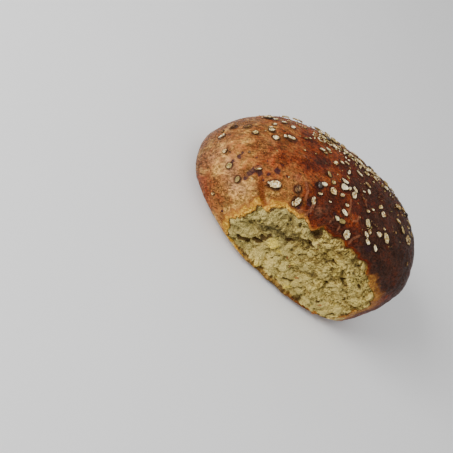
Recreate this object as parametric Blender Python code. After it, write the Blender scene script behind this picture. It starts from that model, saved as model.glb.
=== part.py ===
"""A carrot bread roll, pulled from its batch so that one long side is bare torn crumb.

The roll lies on its flat base with its long side along X and +Z up. The torn side faces -Y. The dome is
a superellipsoid, a craggy block is cut away along the tear, and oat flakes are fused to the crust.
The origin is on the base, under the middle of the roll. All sizes are metres.
"""

import math
from typing import NamedTuple

import bmesh
import bpy
import numpy as np
from mathutils import Matrix, Vector

# Driving sizes of the dome, measured about its own axis
HALF_LENGTH = 0.0625
HALF_DEPTH = 0.042
HEIGHT = 0.053
WIDEST_HEIGHT = 0.013
PLAN_POWER = 2.12
DOME_POWER = 2.7
BASE_POWER = 4.1
BASE_OVERSHOOT = 1.06
# The right end rose higher and spread a little deeper than the left end
HEIGHT_TAPER = 0.16
DEPTH_TAPER = 0.05
TOP_LEAN_X = 0.003
PLAN_SKEW = 0.0015
# The dome's own axis lies this far from the origin, so that the origin is under the middle of the roll
AXIS_OFFSET = np.array([-0.0012, -0.0033, 0.0])

# Soft rises and hollows of the crust
LUMP_WAVE = 0.030
LUMP_HEIGHT = 0.0011
DENT_WAVE = 0.013
DENT_HEIGHT = 0.0004
LUMP_SEED = 11
FLAT_BASE_RISE = 0.010

# The tear, as distances from the dome's own axis
TEAR_Y = -0.0330
TEAR_LEAN = 0.03
TEAR_YAW = 0.03
TEAR_HALF_WIDTH = 0.060
TEAR_TOP = 0.062
TEAR_STEP = 0.0017
CUTTER_DEPTH = 0.040

# Oat flakes fused to the crust, largest first
FLAKE_SEED = 7
FLAKES_DRAWN = 420
FLAKES_FUSED = 132
FLAKE_SIDES = 6
FLAKE_RINGS = 3
SHORTEST_FLAKE = 0.0015
COMMON_FLAKE_GROWTH = 0.0024
LARGE_FLAKE_GROWTH = 0.0028
FLAKE_CLOSENESS = 0.42
BARE_RIM = 0.0025
LOWEST_FLAKE = 0.018


class Flake(NamedTuple):
    """One oat flake: where it lies, how it is turned and how large it is."""

    point: np.ndarray
    normal: np.ndarray
    tangent: np.ndarray
    length: float
    width: float
    turn: float
    tip: float
    swell: np.ndarray


def smoothstep(value, low, high):
    """0 below low, 1 above high, and a smooth rise between them."""
    t = np.clip((value - low) / (high - low), 0.0, 1.0)
    return t * t * (3.0 - 2.0 * t)


def lattice_value(cell, seed):
    """A repeatable number from -1 to 1 for each whole-numbered lattice cell."""
    x, y, z = (cell[..., i].astype(np.int64) for i in range(3))
    mask = 0xFFFFFFFF
    h = (x * 374761393 + y * 668265263 + z * 1442695041 + seed * 974711) & mask
    h = ((h ^ (h >> 13)) * 1274126177) & mask
    h = ((h ^ (h >> 16)) * 2246822519) & mask
    return ((h ^ (h >> 15)) & mask) / 2147483647.5 - 1.0


def smooth_noise(points, wave, seed):
    """Smooth noise from -1 to 1: lattice numbers one wave apart, blended between the corners of each cell."""
    scaled = points / wave
    cell = np.floor(scaled)
    f = scaled - cell
    f = f * f * f * (f * (f * 6.0 - 15.0) + 10.0)
    total = np.zeros(points.shape[:-1])
    for corner in np.ndindex(2, 2, 2):
        pick = np.array(corner)
        weight = np.prod(np.where(pick, f, 1.0 - f), axis=-1)
        total += weight * lattice_value(cell + pick, seed)
    return total


def dome_surface(directions):
    """The point of the dome that each direction from its inner centre meets.

    A superellipsoid: plan power p round the waist, one power for the dome above the widest level and a
    squarer one for the base below it, stretched to the roll's sizes and flattened at height 0.
    """
    nx, ny, nz = directions[..., 0], directions[..., 1], directions[..., 2]
    plan = (np.abs(nx) ** PLAN_POWER + np.abs(ny) ** PLAN_POWER) ** (1.0 / PLAN_POWER)
    power = np.where(nz > 0.0, DOME_POWER, BASE_POWER)
    radius = (plan**power + np.abs(nz) ** power) ** (-1.0 / power)
    x, y, z = nx * radius, ny * radius, nz * radius
    rise = (HEIGHT - WIDEST_HEIGHT) * (1.0 + HEIGHT_TAPER * x)
    drop = WIDEST_HEIGHT * BASE_OVERSHOOT
    height = np.maximum(WIDEST_HEIGHT + np.where(z > 0.0, rise, drop) * z, 0.0)
    return np.stack(
        [
            HALF_LENGTH * x + TOP_LEAN_X * height / HEIGHT,
            HALF_DEPTH * y * (1.0 + DEPTH_TAPER * x) + PLAN_SKEW * x * (1.0 - x * x),
            height,
        ],
        axis=-1,
    )


def crust_surface(directions):
    """The dome with its soft lumps and dents, which fade out towards the flat base."""
    points = dome_surface(directions)
    centre = np.array([0.0, 0.0, WIDEST_HEIGHT])
    outward = points - centre
    outward /= np.linalg.norm(outward, axis=-1, keepdims=True)
    lump = LUMP_HEIGHT * smooth_noise(points, LUMP_WAVE, LUMP_SEED)
    dent = DENT_HEIGHT * smooth_noise(points, DENT_WAVE, LUMP_SEED + 1)
    fade = smoothstep(points[..., 2], 0.0, FLAT_BASE_RISE)
    return points + outward * ((lump + dent) * fade)[..., None]


def crevice_x(z):
    """Where the crevice between the left plateau and the rest of the crumb runs, at height z."""
    return -0.021 + 0.30 * z + 0.008 * (np.clip(z, 0.0, 0.036) / 0.032) ** 6


def pit(x, z, centre, radius, depth):
    """A round hole in the crumb with soft sides."""
    distance = np.hypot(x - centre[0], z - centre[1])
    return -depth * (1.0 - smoothstep(distance, 0.3 * radius, radius))


def tear_relief(x, z):
    """How far the torn crumb stands out from the tear's mean plane.

    A plateau on the left, a crevice beside it, torn lumps at two scales, a ragged rise under the crust's
    lobes and a few large holes.
    """
    at = np.stack([x, np.full_like(x, 0.5), z], axis=-1)
    beside = x - crevice_x(z)
    plateau = 0.0011 * (1.0 - smoothstep(beside, -0.002, 0.001))
    strength = 0.75 + 0.25 * smooth_noise(at, 0.006, 31)
    crevice = -0.0026 * strength * np.exp(-((beside - 0.0008) / 0.0013) ** 2)
    crevice *= smoothstep(z, 0.001, 0.004) * (1.0 - smoothstep(z, 0.030, 0.036))
    broad = 0.0011 * smooth_noise(at, 0.017, 32)
    torn = 1.0 - 2.0 * np.abs(smooth_noise(at, 0.0075, 33))
    fine = smooth_noise(at, 0.0038, 34)
    lumps = (0.0010 * torn + 0.0007 * fine) * np.where(beside < 0.0, 0.55, 1.0)
    lobe = 0.0016 * np.exp(-(((x - 0.007) / 0.007) ** 2 + ((z - 0.045) / 0.005) ** 2))
    holes = (
        pit(x, z, (-0.0035, 0.0315), 0.0030, 0.0030)
        + pit(x, z, (-0.0130, 0.0150), 0.0026, 0.0022)
        + pit(x, z, (-0.0165, 0.0080), 0.0022, 0.0020)
        + pit(x, z, (0.0175, 0.0330), 0.0022, 0.0016)
        + pit(x, z, (0.0300, 0.0105), 0.0018, 0.0015)
    )
    return plateau + crevice + broad + lumps + lobe + holes


def tear_plane(x, z):
    """The mean depth y of the tear, from the dome's own axis."""
    return TEAR_Y + TEAR_LEAN * z + TEAR_YAW * x


def tear_surface(x, z):
    """The depth y at which the crumb is torn, from the dome's own axis."""
    return tear_plane(x, z) - tear_relief(x, z)


def flake_drifts():
    """Where the topping gathered: (x, y, spread, share) with x and y on the dome and shares of the draw."""
    return (
        (-0.037, 0.008, 0.16, 0.10),
        (-0.016, 0.008, 0.16, 0.12),
        (-0.002, 0.014, 0.17, 0.15),
        (0.001, -0.014, 0.10, 0.09),
        (0.014, 0.006, 0.17, 0.11),
        (0.023, -0.016, 0.12, 0.10),
        (0.036, -0.002, 0.13, 0.08),
        (-0.020, -0.027, 0.09, 0.03),
        (-0.050, -0.016, 0.17, 0.03),
        (0.012, 0.026, 0.24, 0.12),
        (-0.024, 0.028, 0.20, 0.07),
    )


def dome_direction(x, y):
    """The direction from the inner centre that meets the dome's upper side above (x, y)."""
    u, v = x / HALF_LENGTH, y / HALF_DEPTH
    plan = (abs(u) ** PLAN_POWER + abs(v) ** PLAN_POWER) ** (1.0 / PLAN_POWER)
    up = (1.0 - min(plan, 0.999) ** DOME_POWER) ** (1.0 / DOME_POWER)
    return np.array([u, v, up]) / math.sqrt(u * u + v * v + up * up)


def surface_frame(direction):
    """A point of the crust with its unit normal and one unit tangent, from two nearby points."""
    side = np.cross(direction, [0.0, 0.0, 1.0])
    side /= np.linalg.norm(side) + 1e-9
    over = np.cross(side, direction)
    step = 0.02
    near = np.array([direction, direction + step * side, direction + step * over])
    near /= np.linalg.norm(near, axis=-1, keepdims=True)
    point, along, across = crust_surface(near)
    tangent = (along - point) / np.linalg.norm(along - point)
    normal = np.cross(tangent, across - point)
    normal /= np.linalg.norm(normal)
    if normal @ (point - np.array([0.0, 0.0, WIDEST_HEIGHT])) < 0.0:
        normal = -normal
    return point, normal, tangent


def draw_flakes():
    """The flakes of the topping, largest first: drawn round the drifts, clear of the tear and each other."""
    rng = np.random.default_rng(FLAKE_SEED)
    drifts = flake_drifts()
    shares = np.array([d[3] for d in drifts])
    flakes = []
    for _ in range(FLAKES_DRAWN):
        x, y, spread, _ = drifts[rng.choice(len(drifts), p=shares / shares.sum())]
        direction = dome_direction(x, y) + spread * rng.normal(size=3)
        direction /= np.linalg.norm(direction)
        growth = COMMON_FLAKE_GROWTH * rng.beta(1.4, 2.0) + LARGE_FLAKE_GROWTH * rng.random() ** 4
        length = SHORTEST_FLAKE + growth
        width = length * rng.uniform(0.55, 0.95)
        turn = rng.uniform(0.0, 2.0 * math.pi)
        tip = rng.uniform(-0.22, 0.22)
        swell = rng.random(FLAKE_SIDES)
        point, normal, tangent = surface_frame(direction)
        behind_tear = point[1] - tear_plane(point[0], point[2])
        if behind_tear < BARE_RIM or point[2] < LOWEST_FLAKE or normal[2] < 0.05:
            continue
        if any(np.linalg.norm(point - f.point) < FLAKE_CLOSENESS * (length + f.length) for f in flakes):
            continue
        flakes.append(Flake(point, normal, tangent, length, width, turn, tip, swell))
    return sorted(flakes, key=lambda f: -f.length)


def material(name, colour, roughness):
    """A plain baked or grain surface."""
    made = bpy.data.materials.new(name)
    made.use_nodes = True
    shader = made.node_tree.nodes["Principled BSDF"]
    shader.inputs["Base Color"].default_value = (*colour, 1.0)
    shader.inputs["Roughness"].default_value = roughness
    shader.inputs["Metallic"].default_value = 0.0
    return made


def new_object(name, bm, collection, finish):
    """Puts a bmesh into a named object with one material."""
    mesh = bpy.data.meshes.new(name)
    bm.to_mesh(mesh)
    bm.free()
    mesh.materials.append(finish)
    made = bpy.data.objects.new(name, mesh)
    collection.objects.link(made)
    return made


def move_vertices(bm, rule):
    """Moves every vertex of a bmesh to where the rule puts it."""
    at = np.array([v.co for v in bm.verts])
    for vertex, co in zip(bm.verts, rule(at)):
        vertex.co = co


def build_dome(collection, finish):
    """The whole roll before it was torn: an even sphere of triangles drawn out to the crust's form."""
    bm = bmesh.new()
    bmesh.ops.create_icosphere(bm, subdivisions=5, radius=1.0)
    move_vertices(bm, lambda at: crust_surface(at / np.linalg.norm(at, axis=-1, keepdims=True)))
    return new_object("bread_roll", bm, collection, finish)


def build_tear_cutter(collection, finish):
    """A block in front of the roll whose inner face is the torn crumb."""
    columns = round(2.0 * TEAR_HALF_WIDTH / TEAR_STEP)
    rows = round((TEAR_TOP + FLAT_BASE_RISE) / TEAR_STEP)
    bm = bmesh.new()
    bmesh.ops.create_grid(bm, x_segments=columns, y_segments=rows, size=1.0)

    def place(at):
        x = at[:, 0] * TEAR_HALF_WIDTH
        z = -FLAT_BASE_RISE + (at[:, 1] + 1.0) / 2.0 * (TEAR_TOP + FLAT_BASE_RISE)
        return np.stack([x, tear_surface(x, z), z], axis=-1)

    move_vertices(bm, place)
    pulled = bmesh.ops.extrude_face_region(bm, geom=bm.faces[:], use_keep_orig=True)
    for item in pulled["geom"]:
        if isinstance(item, bmesh.types.BMVert):
            item.co.y = TEAR_Y - CUTTER_DEPTH
    bmesh.ops.recalc_face_normals(bm, faces=bm.faces[:])
    cutter = new_object("tear_cutter", bm, collection, finish)
    cutter.hide_render = True
    cutter.display_type = "WIRE"
    return cutter


def build_flake(index, flake, collection, finish):
    """One oat flake: a flat, slightly uneven oval plate that tips into the crust."""
    bm = bmesh.new()
    bmesh.ops.create_uvsphere(bm, u_segments=FLAKE_SIDES, v_segments=FLAKE_RINGS, radius=1.0)
    thickness = 0.0009 + 0.08 * flake.length

    def shape(at):
        angle = np.arctan2(at[:, 1], at[:, 0])
        side = np.round(angle / (2.0 * math.pi) * FLAKE_SIDES).astype(int) % FLAKE_SIDES
        reach = 0.86 + 0.28 * flake.swell[side]
        return np.stack(
            [
                at[:, 0] * reach * flake.length / 2.0,
                at[:, 1] * reach * flake.width / 2.0,
                at[:, 2] * thickness / 2.0,
            ],
            axis=-1,
        )

    move_vertices(bm, shape)
    bitangent = np.cross(flake.normal, flake.tangent)
    lie = Matrix((flake.tangent, bitangent, flake.normal)).transposed().to_4x4()
    sit = Matrix.Translation(Vector(flake.point + flake.normal * 0.10 * thickness))
    bm.transform(sit @ lie @ Matrix.Rotation(flake.turn, 4, "Z") @ Matrix.Rotation(flake.tip, 4, "X"))
    return new_object(f"flake_{index}", bm, collection, finish)


def boolean(target, operation, **operand):
    """Joins or cuts target and applies the result."""
    modifier = target.modifiers.new(operation.lower(), "BOOLEAN")
    modifier.operation = operation
    modifier.solver = "EXACT"
    modifier.material_mode = "TRANSFER"
    for name, value in operand.items():
        setattr(modifier, name, value)
    bpy.context.view_layer.update()
    graph = bpy.context.evaluated_depsgraph_get()
    made = bpy.data.meshes.new_from_object(target.evaluated_get(graph))
    target.modifiers.clear()
    target.data = made


def main():
    for old in list(bpy.data.objects):
        bpy.data.objects.remove(old)
    roll_parts = bpy.data.collections.new("carrot_bread_roll")
    helpers = bpy.data.collections.new("cutters")
    topping = bpy.data.collections.new("topping")
    for collection in (roll_parts, helpers, topping):
        bpy.context.scene.collection.children.link(collection)
    crust = material("baked_crust", (0.21, 0.075, 0.025), 0.42)
    crumb = material("torn_crumb", (0.37, 0.28, 0.11), 0.90)
    oats = material("oat_flakes", (0.62, 0.50, 0.30), 0.75)

    roll = build_dome(roll_parts, crust)
    cutter = build_tear_cutter(helpers, crumb)
    boolean(roll, "DIFFERENCE", object=cutter)
    for index, flake in enumerate(draw_flakes()[:FLAKES_FUSED]):
        build_flake(index, flake, topping, oats)
    boolean(roll, "UNION", operand_type="COLLECTION", collection=topping)
    for helper in [cutter, *topping.objects]:
        bpy.data.objects.remove(helper)
    roll.data.transform(Matrix.Translation(Vector(AXIS_OFFSET)))
    roll.data.shade_smooth()
    roll.data.set_sharp_from_angle(angle=math.radians(35.0))


main()
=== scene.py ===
"""The looks of a torn carrot bread roll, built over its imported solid.

The roll has three kinds of surface. The crust is one closed piece with a shallow pocket on its torn side.
The crumb is one closed piece that fills the pocket, and its front is the torn face. The topping lies on the
crust: oat flakes, flake bits, bran and seeds. Everything is in metres in the solid's frame: the long side
lies along X, +Z is up and the torn side faces -Y. Features that the photograph shows are named by their
pixels, and found on the roll behind them.
"""

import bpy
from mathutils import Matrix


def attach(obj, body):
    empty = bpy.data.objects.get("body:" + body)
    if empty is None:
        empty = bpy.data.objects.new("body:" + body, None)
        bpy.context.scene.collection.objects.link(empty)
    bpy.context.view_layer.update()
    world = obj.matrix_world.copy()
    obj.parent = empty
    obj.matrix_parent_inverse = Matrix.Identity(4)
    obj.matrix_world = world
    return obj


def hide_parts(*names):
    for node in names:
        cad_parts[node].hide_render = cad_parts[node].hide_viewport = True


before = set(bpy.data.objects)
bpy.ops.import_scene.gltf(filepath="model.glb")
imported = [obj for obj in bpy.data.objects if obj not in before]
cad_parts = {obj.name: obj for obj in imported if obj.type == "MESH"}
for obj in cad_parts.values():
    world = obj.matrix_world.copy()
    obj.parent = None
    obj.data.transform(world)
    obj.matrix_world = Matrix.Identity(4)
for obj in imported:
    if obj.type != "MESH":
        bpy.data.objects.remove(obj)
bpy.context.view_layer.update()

import itertools
import logging
import math
from dataclasses import dataclass, field
from enum import Enum
from functools import cached_property
from typing import NamedTuple

import bpy
import numpy as np
from mathutils import Matrix

Array = np.ndarray
Colour = tuple[float, float, float]
Pair = tuple[Colour, Colour]
Stops = tuple[tuple[float, Colour], ...]
BODY = "root"
MM = 0.001
UNSEEN_PX = 1e6
NOISE_MIDDLE = 0.5
TURN = 2.0 * math.pi

logging.basicConfig(level=logging.INFO, format="%(message)s")
LOG = logging.getLogger("carrot_bread_roll")


def smoothstep(value: Array, low: float, high: float) -> Array:
    """A smooth rise from 0 to 1.

    Args:
        value: Where the rise is read.
        low: The value up to which the result is 0.
        high: The value from which the result is 1.

    Returns:
        3 t squared minus 2 t cubed, with t running from low to high.
    """
    t = np.clip((value - low) / (high - low), 0.0, 1.0)
    return t * t * (3.0 - 2.0 * t)


def lattice_value(cell: Array, seed: int) -> Array:
    """A repeatable number for each whole-numbered lattice cell.

    Args:
        cell: Whole x, y and z in the last axis.
        seed: Picks the pattern.

    Returns:
        Numbers from -1 to 1, from a hash of the cell.
    """
    x, y, z = (cell[..., i].astype(np.int64) for i in range(3))
    mask = 0xFFFFFFFF
    h = (x * 374761393 + y * 668265263 + z * 1442695041 + seed * 974711) & mask
    h = ((h ^ (h >> 13)) * 1274126177) & mask
    h = ((h ^ (h >> 16)) * 2246822519) & mask
    return ((h ^ (h >> 15)) & mask) / 2147483647.5 - 1.0


def smooth_noise(points: Array, wave: float, seed: int) -> Array:
    """Smooth noise: lattice numbers one wave apart, blended between the corners of each cell.

    Args:
        points: Places, with x, y and z in the last axis.
        wave: The lattice's spacing.
        seed: Picks the pattern.

    Returns:
        Numbers from -1 to 1.
    """
    scaled = points / wave
    cell = np.floor(scaled)
    f = scaled - cell
    f = f * f * f * (f * (f * 6.0 - 15.0) + 10.0)
    total = np.zeros(points.shape[:-1])
    for corner in np.ndindex(2, 2, 2):
        pick = np.array(corner)
        weight = np.prod(np.where(pick, f, 1.0 - f), axis=-1)
        total += weight * lattice_value(cell + pick, seed)
    return total


def ridged_noise(points: Array, wave: float, seed: int) -> Array:
    """Noise with sharp crests: 1 minus twice the size of smooth noise, so from -1 to 1."""
    return 1.0 - 2.0 * np.abs(smooth_noise(points, wave, seed))


def granules(x: Array, z: Array, wave: float, seed: int) -> tuple[Array, Array]:
    """Rounded grains with creases between them, one grain at a random place in each square cell.

    Args:
        x: Places along one axis.
        z: Places along the other.
        wave: The cells' side.
        seed: Picks the pattern.

    Returns:
        The height, which is 1 minus the squared distance to the nearest grain's middle, and that grain's own
        random number from -1 to 1.
    """
    u, v = x / wave, z / wave
    cell_u, cell_v = np.floor(u), np.floor(v)
    nearest, own = np.full(x.shape, 9.0), np.zeros(x.shape)
    for du, dv in itertools.product((-1.0, 0.0, 1.0), repeat=2):
        cell = np.stack([cell_u + du, cell_v + dv, np.zeros_like(u)], axis=-1)
        away_u = u - cell[..., 0] - 0.5 - 0.42 * lattice_value(cell, seed)
        away_v = v - cell[..., 1] - 0.5 - 0.42 * lattice_value(cell, seed + 1)
        away = np.hypot(away_u, away_v)
        own = np.where(away < nearest, lattice_value(cell, seed + 2), own)
        nearest = np.minimum(nearest, away)
    return np.maximum(1.0 - (nearest / 0.62) ** 2, -0.8), own


def unit(vectors: Array) -> Array:
    """Vectors of length 1 along the last axis."""
    return vectors / np.maximum(np.linalg.norm(vectors, axis=-1, keepdims=True), 1e-12)


def beside_path(points: Array, path: Array) -> Array:
    """The distance from each point to a path of straight stretches.

    Args:
        points: Places, with x, y and z in the last axis.
        path: The path's points, one row each.

    Returns:
        The smallest distance to any stretch.
    """
    best = np.full(points.shape[:-1], 1.0)
    for start, end in zip(path[:-1], path[1:]):
        run = end - start
        share = np.clip(((points - start) @ run) / max(run @ run, 1e-12), 0.0, 1.0)
        best = np.minimum(best, np.linalg.norm(points - start - share[..., None] * run, axis=-1))
    return best


class Spot(NamedTuple):
    """A round feature behind a pixel: its radius in mm, and how high or strong it is."""

    px: float
    py: float
    radius: float
    amount: float


class Line(NamedTuple):
    """A feature along pixels: its half width in mm, and how high or strong it is."""

    path: tuple[tuple[float, float], ...]
    width: float
    amount: float


class Shown(NamedTuple):
    """A flake or seed behind a pixel: length and width in mm, turn in degrees on the picture, and tone."""

    px: float
    py: float
    length: float
    width: float
    turn: float
    tone: float


@dataclass(frozen=True)
class RollShape:
    """The roll's form, measured about the dome's own axis, as the solid has it."""

    half_length: float = 0.0625
    half_depth: float = 0.042
    height: float = 0.053
    widest_height: float = 0.013
    plan_power: float = 2.12
    dome_power: float = 2.7
    base_power: float = 4.1
    base_overshoot: float = 1.06
    height_taper: float = 0.16
    depth_taper: float = 0.05
    top_lean_x: float = 0.003
    plan_skew: float = 0.0015
    lump_wave: float = 0.030
    lump_height: float = 0.0011
    dent_wave: float = 0.013
    dent_height: float = 0.0004
    lump_seed: int = 11
    flat_base_rise: float = 0.010
    tear_y: float = -0.0330
    tear_lean: float = 0.03
    tear_yaw: float = 0.03
    axis_offset: tuple[float, float, float] = (-0.0012, -0.0033, 0.0)

    @property
    def centre(self) -> Array:
        """The inner centre that directions start from."""
        return np.array([0.0, 0.0, self.widest_height])

    def dome(self, directions: Array) -> Array:
        """The dome's point in each direction.

        A superellipsoid: the plan power round the waist, one power above the widest level and a squarer one
        below it, stretched to the roll's sizes and flattened at height 0.

        Args:
            directions: Unit vectors from the inner centre, in the superellipsoid's own proportions.

        Returns:
            Points on the dome.
        """
        nx, ny, nz = directions[..., 0], directions[..., 1], directions[..., 2]
        plan = (np.abs(nx) ** self.plan_power + np.abs(ny) ** self.plan_power) ** (1.0 / self.plan_power)
        power = np.where(nz > 0.0, self.dome_power, self.base_power)
        radius = (plan**power + np.abs(nz) ** power) ** (-1.0 / power)
        x, y, z = nx * radius, ny * radius, nz * radius
        rise = (self.height - self.widest_height) * (1.0 + self.height_taper * x)
        drop = self.widest_height * self.base_overshoot
        height = np.maximum(self.widest_height + np.where(z > 0.0, rise, drop) * z, 0.0)
        across = self.half_depth * y * (1.0 + self.depth_taper * x) + self.plan_skew * x * (1.0 - x * x)
        along = self.half_length * x + self.top_lean_x * height / self.height
        return np.stack([along, across, height], axis=-1)

    def crust(self, directions: Array) -> Array:
        """The dome with its soft lumps and dents, which fade out towards the flat base."""
        points = self.dome(directions)
        outward = unit(points - self.centre)
        lump = self.lump_height * smooth_noise(points, self.lump_wave, self.lump_seed)
        dent = self.dent_height * smooth_noise(points, self.dent_wave, self.lump_seed + 1)
        fade = smoothstep(points[..., 2], 0.0, self.flat_base_rise)
        return points + outward * ((lump + dent) * fade)[..., None]

    def tear_plane(self, x: Array, z: Array) -> Array:
        """The mean depth y of the tear: a plane that leans back a little and is turned a little."""
        return self.tear_y + self.tear_lean * z + self.tear_yaw * x

    def direction_over(self, x: float, y: float) -> Array:
        """The direction from the inner centre that meets the dome's upper side above (x, y)."""
        u, v = x / self.half_length, y / self.half_depth
        plan = (abs(u) ** self.plan_power + abs(v) ** self.plan_power) ** (1.0 / self.plan_power)
        up = (1.0 - min(plan, 0.999) ** self.dome_power) ** (1.0 / self.dome_power)
        return np.array([u, v, up]) / math.sqrt(u * u + v * v + up * up)

    def placed(self, points: Array) -> Array:
        """Points about the dome's own axis, moved into the solid's frame."""
        return points + np.array(self.axis_offset)


@dataclass(frozen=True)
class PhotoCamera:
    """The photograph's view: a camera that looks at the roll from its torn side, rolled over to the right."""

    azimuth: float = -29.63
    elevation: float = 31.55
    roll: float = 60.64
    distance: float = 0.420
    aim: tuple[float, float, float] = (0.0, 0.0, 0.025)
    pixels_per_mm: float = 1.9966
    image_side: float = 453.0
    aim_px: tuple[float, float] = (313.0, 209.3)
    sensor_mm: float = 36.0

    @property
    def focal_px(self) -> float:
        """The focal length in pixels: the scale at the aim times the distance."""
        return self.pixels_per_mm * self.distance / MM

    @cached_property
    def pose(self) -> tuple[Array, Array]:
        """The camera's place about the dome's axis, and its right, up and back axes as columns.

        The axes for a level camera on the azimuth and elevation are turned by the roll, then by the small
        turn that puts the aim on its own pixel instead of the picture's middle.
        """
        a, e, r = (math.radians(v) for v in (self.azimuth, self.elevation, self.roll))
        back = np.array([math.sin(a) * math.cos(e), -math.cos(a) * math.cos(e), math.sin(e)])
        right = np.array([math.cos(a), math.sin(a), 0.0])
        up = np.cross(back, right)
        level = np.stack([right, up, back], axis=1)
        turned = level @ np.array(Matrix.Rotation(r, 3, "Z"))
        middle = self.image_side / 2.0
        ray = unit(np.array([self.aim_px[0] - middle, middle - self.aim_px[1], -self.focal_px]))
        ahead = np.array([0.0, 0.0, -1.0])
        axis, cosine = np.cross(ahead, ray), float(ahead @ ray)
        skew = np.array([[0, -axis[2], axis[1]], [axis[2], 0, -axis[0]], [-axis[1], axis[0], 0]])
        aside = np.eye(3) + skew + skew @ skew / (1.0 + cosine)
        return np.array(self.aim) + back * self.distance, turned @ aside.T

    def pixels(self, points: Array) -> Array:
        """The pixel at which each point about the dome's axis is seen."""
        place, axes = self.pose
        local = (points - place) @ axes
        middle = self.image_side / 2.0
        shown = self.focal_px * local[..., :2] / -local[..., 2:]
        return np.stack([middle + shown[..., 0], middle - shown[..., 1]], axis=-1)

    def facing(self, points: Array, normals: Array) -> Array:
        """How squarely a surface faces the camera: the cosine of the angle from its normal."""
        return (unit(self.pose[0] - points) * normals).sum(axis=-1)

    def along(self, turn: float, normal: Array) -> Array:
        """The tangent of a surface that shows on the picture at a turn in degrees from the right."""
        right, up, _ = self.pose[1].T
        way = math.cos(math.radians(turn)) * right + math.sin(math.radians(turn)) * up
        return unit(way - (way @ normal) * normal)

    def build(self, shape: RollShape) -> bpy.types.Object:
        """Makes the scene's camera.

        Args:
            shape: The roll, whose axis the pose is measured from.

        Returns:
            The camera object, already the scene's camera.
        """
        place, axes = self.pose
        data = bpy.data.cameras.new("photo_camera")
        data.sensor_width = self.sensor_mm
        data.lens = self.focal_px / self.image_side * self.sensor_mm
        data.clip_start = 0.01
        made = bpy.data.objects.new("photo_camera", data)
        bpy.context.scene.collection.objects.link(made)
        pose = np.eye(4)
        pose[:3, :3] = axes
        pose[:3, 3] = shape.placed(place)
        made.matrix_world = Matrix(pose.tolist())
        bpy.context.scene.camera = made
        return made


@dataclass
class SeenGrid:
    """A grid of surface points, with the pixel at which each is seen."""

    points: Array
    shown: Array

    def index(self, px: float, py: float) -> tuple[int, ...]:
        """The grid index of the point seen nearest to a pixel."""
        away = np.hypot(self.shown[..., 0] - px, self.shown[..., 1] - py)
        return tuple(int(i) for i in np.unravel_index(int(np.argmin(away)), away.shape))

    def spots(self, spots: tuple[Spot, ...], steepness: float = 2.0) -> Array:
        """The sum of round features.

        Args:
            spots: The features, each on the surface behind its pixel.
            steepness: How flat the middle of each is and how steep its side.

        Returns:
            The sum of each feature's amount times exp of minus (distance over radius) to the steepness.
        """
        total = np.zeros(self.points.shape[:-1])
        for spot in spots:
            middle = self.points[self.index(spot.px, spot.py)]
            away = np.linalg.norm(self.points - middle, axis=-1) / (spot.radius * MM)
            total += spot.amount * np.exp(-(away**steepness))
        return total

    def lines(self, lines: tuple[Line, ...], steepness: float = 2.0) -> Array:
        """The largest of line features.

        Args:
            lines: The features, each along the surface behind its pixels.
            steepness: How flat the middle of each is and how steep its side.

        Returns:
            The largest amount times exp of minus (distance over width) to the steepness.
        """
        total = np.zeros(self.points.shape[:-1])
        for line in lines:
            path = np.array([self.points[self.index(px, py)] for px, py in line.path])
            away = beside_path(self.points, path) / (line.width * MM)
            total = np.maximum(total, line.amount * np.exp(-(away**steepness)))
        return total


@dataclass
class MeshData:
    """Points, faces and per-point numbers of one piece."""

    points: Array
    faces: list[Array]
    numbers: dict[str, Array] = field(default_factory=dict)

    def build(
        self, name: str, finish: bpy.types.Material, smooth_angle: float | None = None
    ) -> bpy.types.Object:
        """Puts the data into a named mesh object at the origin.

        Args:
            name: The piece's name.
            finish: Its material.
            smooth_angle: Edges sharper than this many degrees stay sharp; None smooths them all.

        Returns:
            The new object.
        """
        mesh = bpy.data.meshes.new(name)
        mesh.vertices.add(len(self.points))
        mesh.vertices.foreach_set("co", self.points.astype(np.float32).ravel())
        corners = np.concatenate([block.ravel() for block in self.faces]).astype(np.int32)
        sides = np.concatenate([np.full(len(block), block.shape[1]) for block in self.faces])
        starts = np.concatenate([[0], np.cumsum(sides)[:-1]]).astype(np.int32)
        mesh.loops.add(len(corners))
        mesh.loops.foreach_set("vertex_index", corners)
        mesh.polygons.add(len(sides))
        mesh.polygons.foreach_set("loop_start", starts)
        mesh.update(calc_edges=True)
        mesh.validate()
        for label, values in self.numbers.items():
            layer = mesh.attributes.new(label, "FLOAT", "POINT")
            layer.data.foreach_set("value", values.astype(np.float32).ravel())
        mesh.shade_smooth()
        if smooth_angle is not None:
            mesh.set_sharp_from_angle(angle=math.radians(smooth_angle))
        mesh.materials.append(finish)
        made = bpy.data.objects.new(name, mesh)
        bpy.context.scene.collection.objects.link(made)
        return made


def ring_quads(rings: int, sides: int, first: int = 0) -> Array:
    """The four-sided faces between closed rings of points.

    Args:
        rings: How many rings there are.
        sides: How many points a ring has.
        first: The index of the first ring's first point.

    Returns:
        One row of four indices for each face, turning so that ring and side directions make its normal.
    """
    ring, side = np.meshgrid(np.arange(rings - 1), np.arange(sides), indexing="ij")
    here, beyond = ring * sides + side, ring * sides + (side + 1) % sides
    quads = np.stack([here, here + sides, beyond + sides, beyond], axis=-1)
    return quads.reshape(-1, 4) + first


def fan(loop: Array, tip: int) -> Array:
    """The triangles from each stretch of a closed loop to one point."""
    return np.stack([loop, np.roll(loop, -1), np.full_like(loop, tip)], axis=-1)


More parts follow.
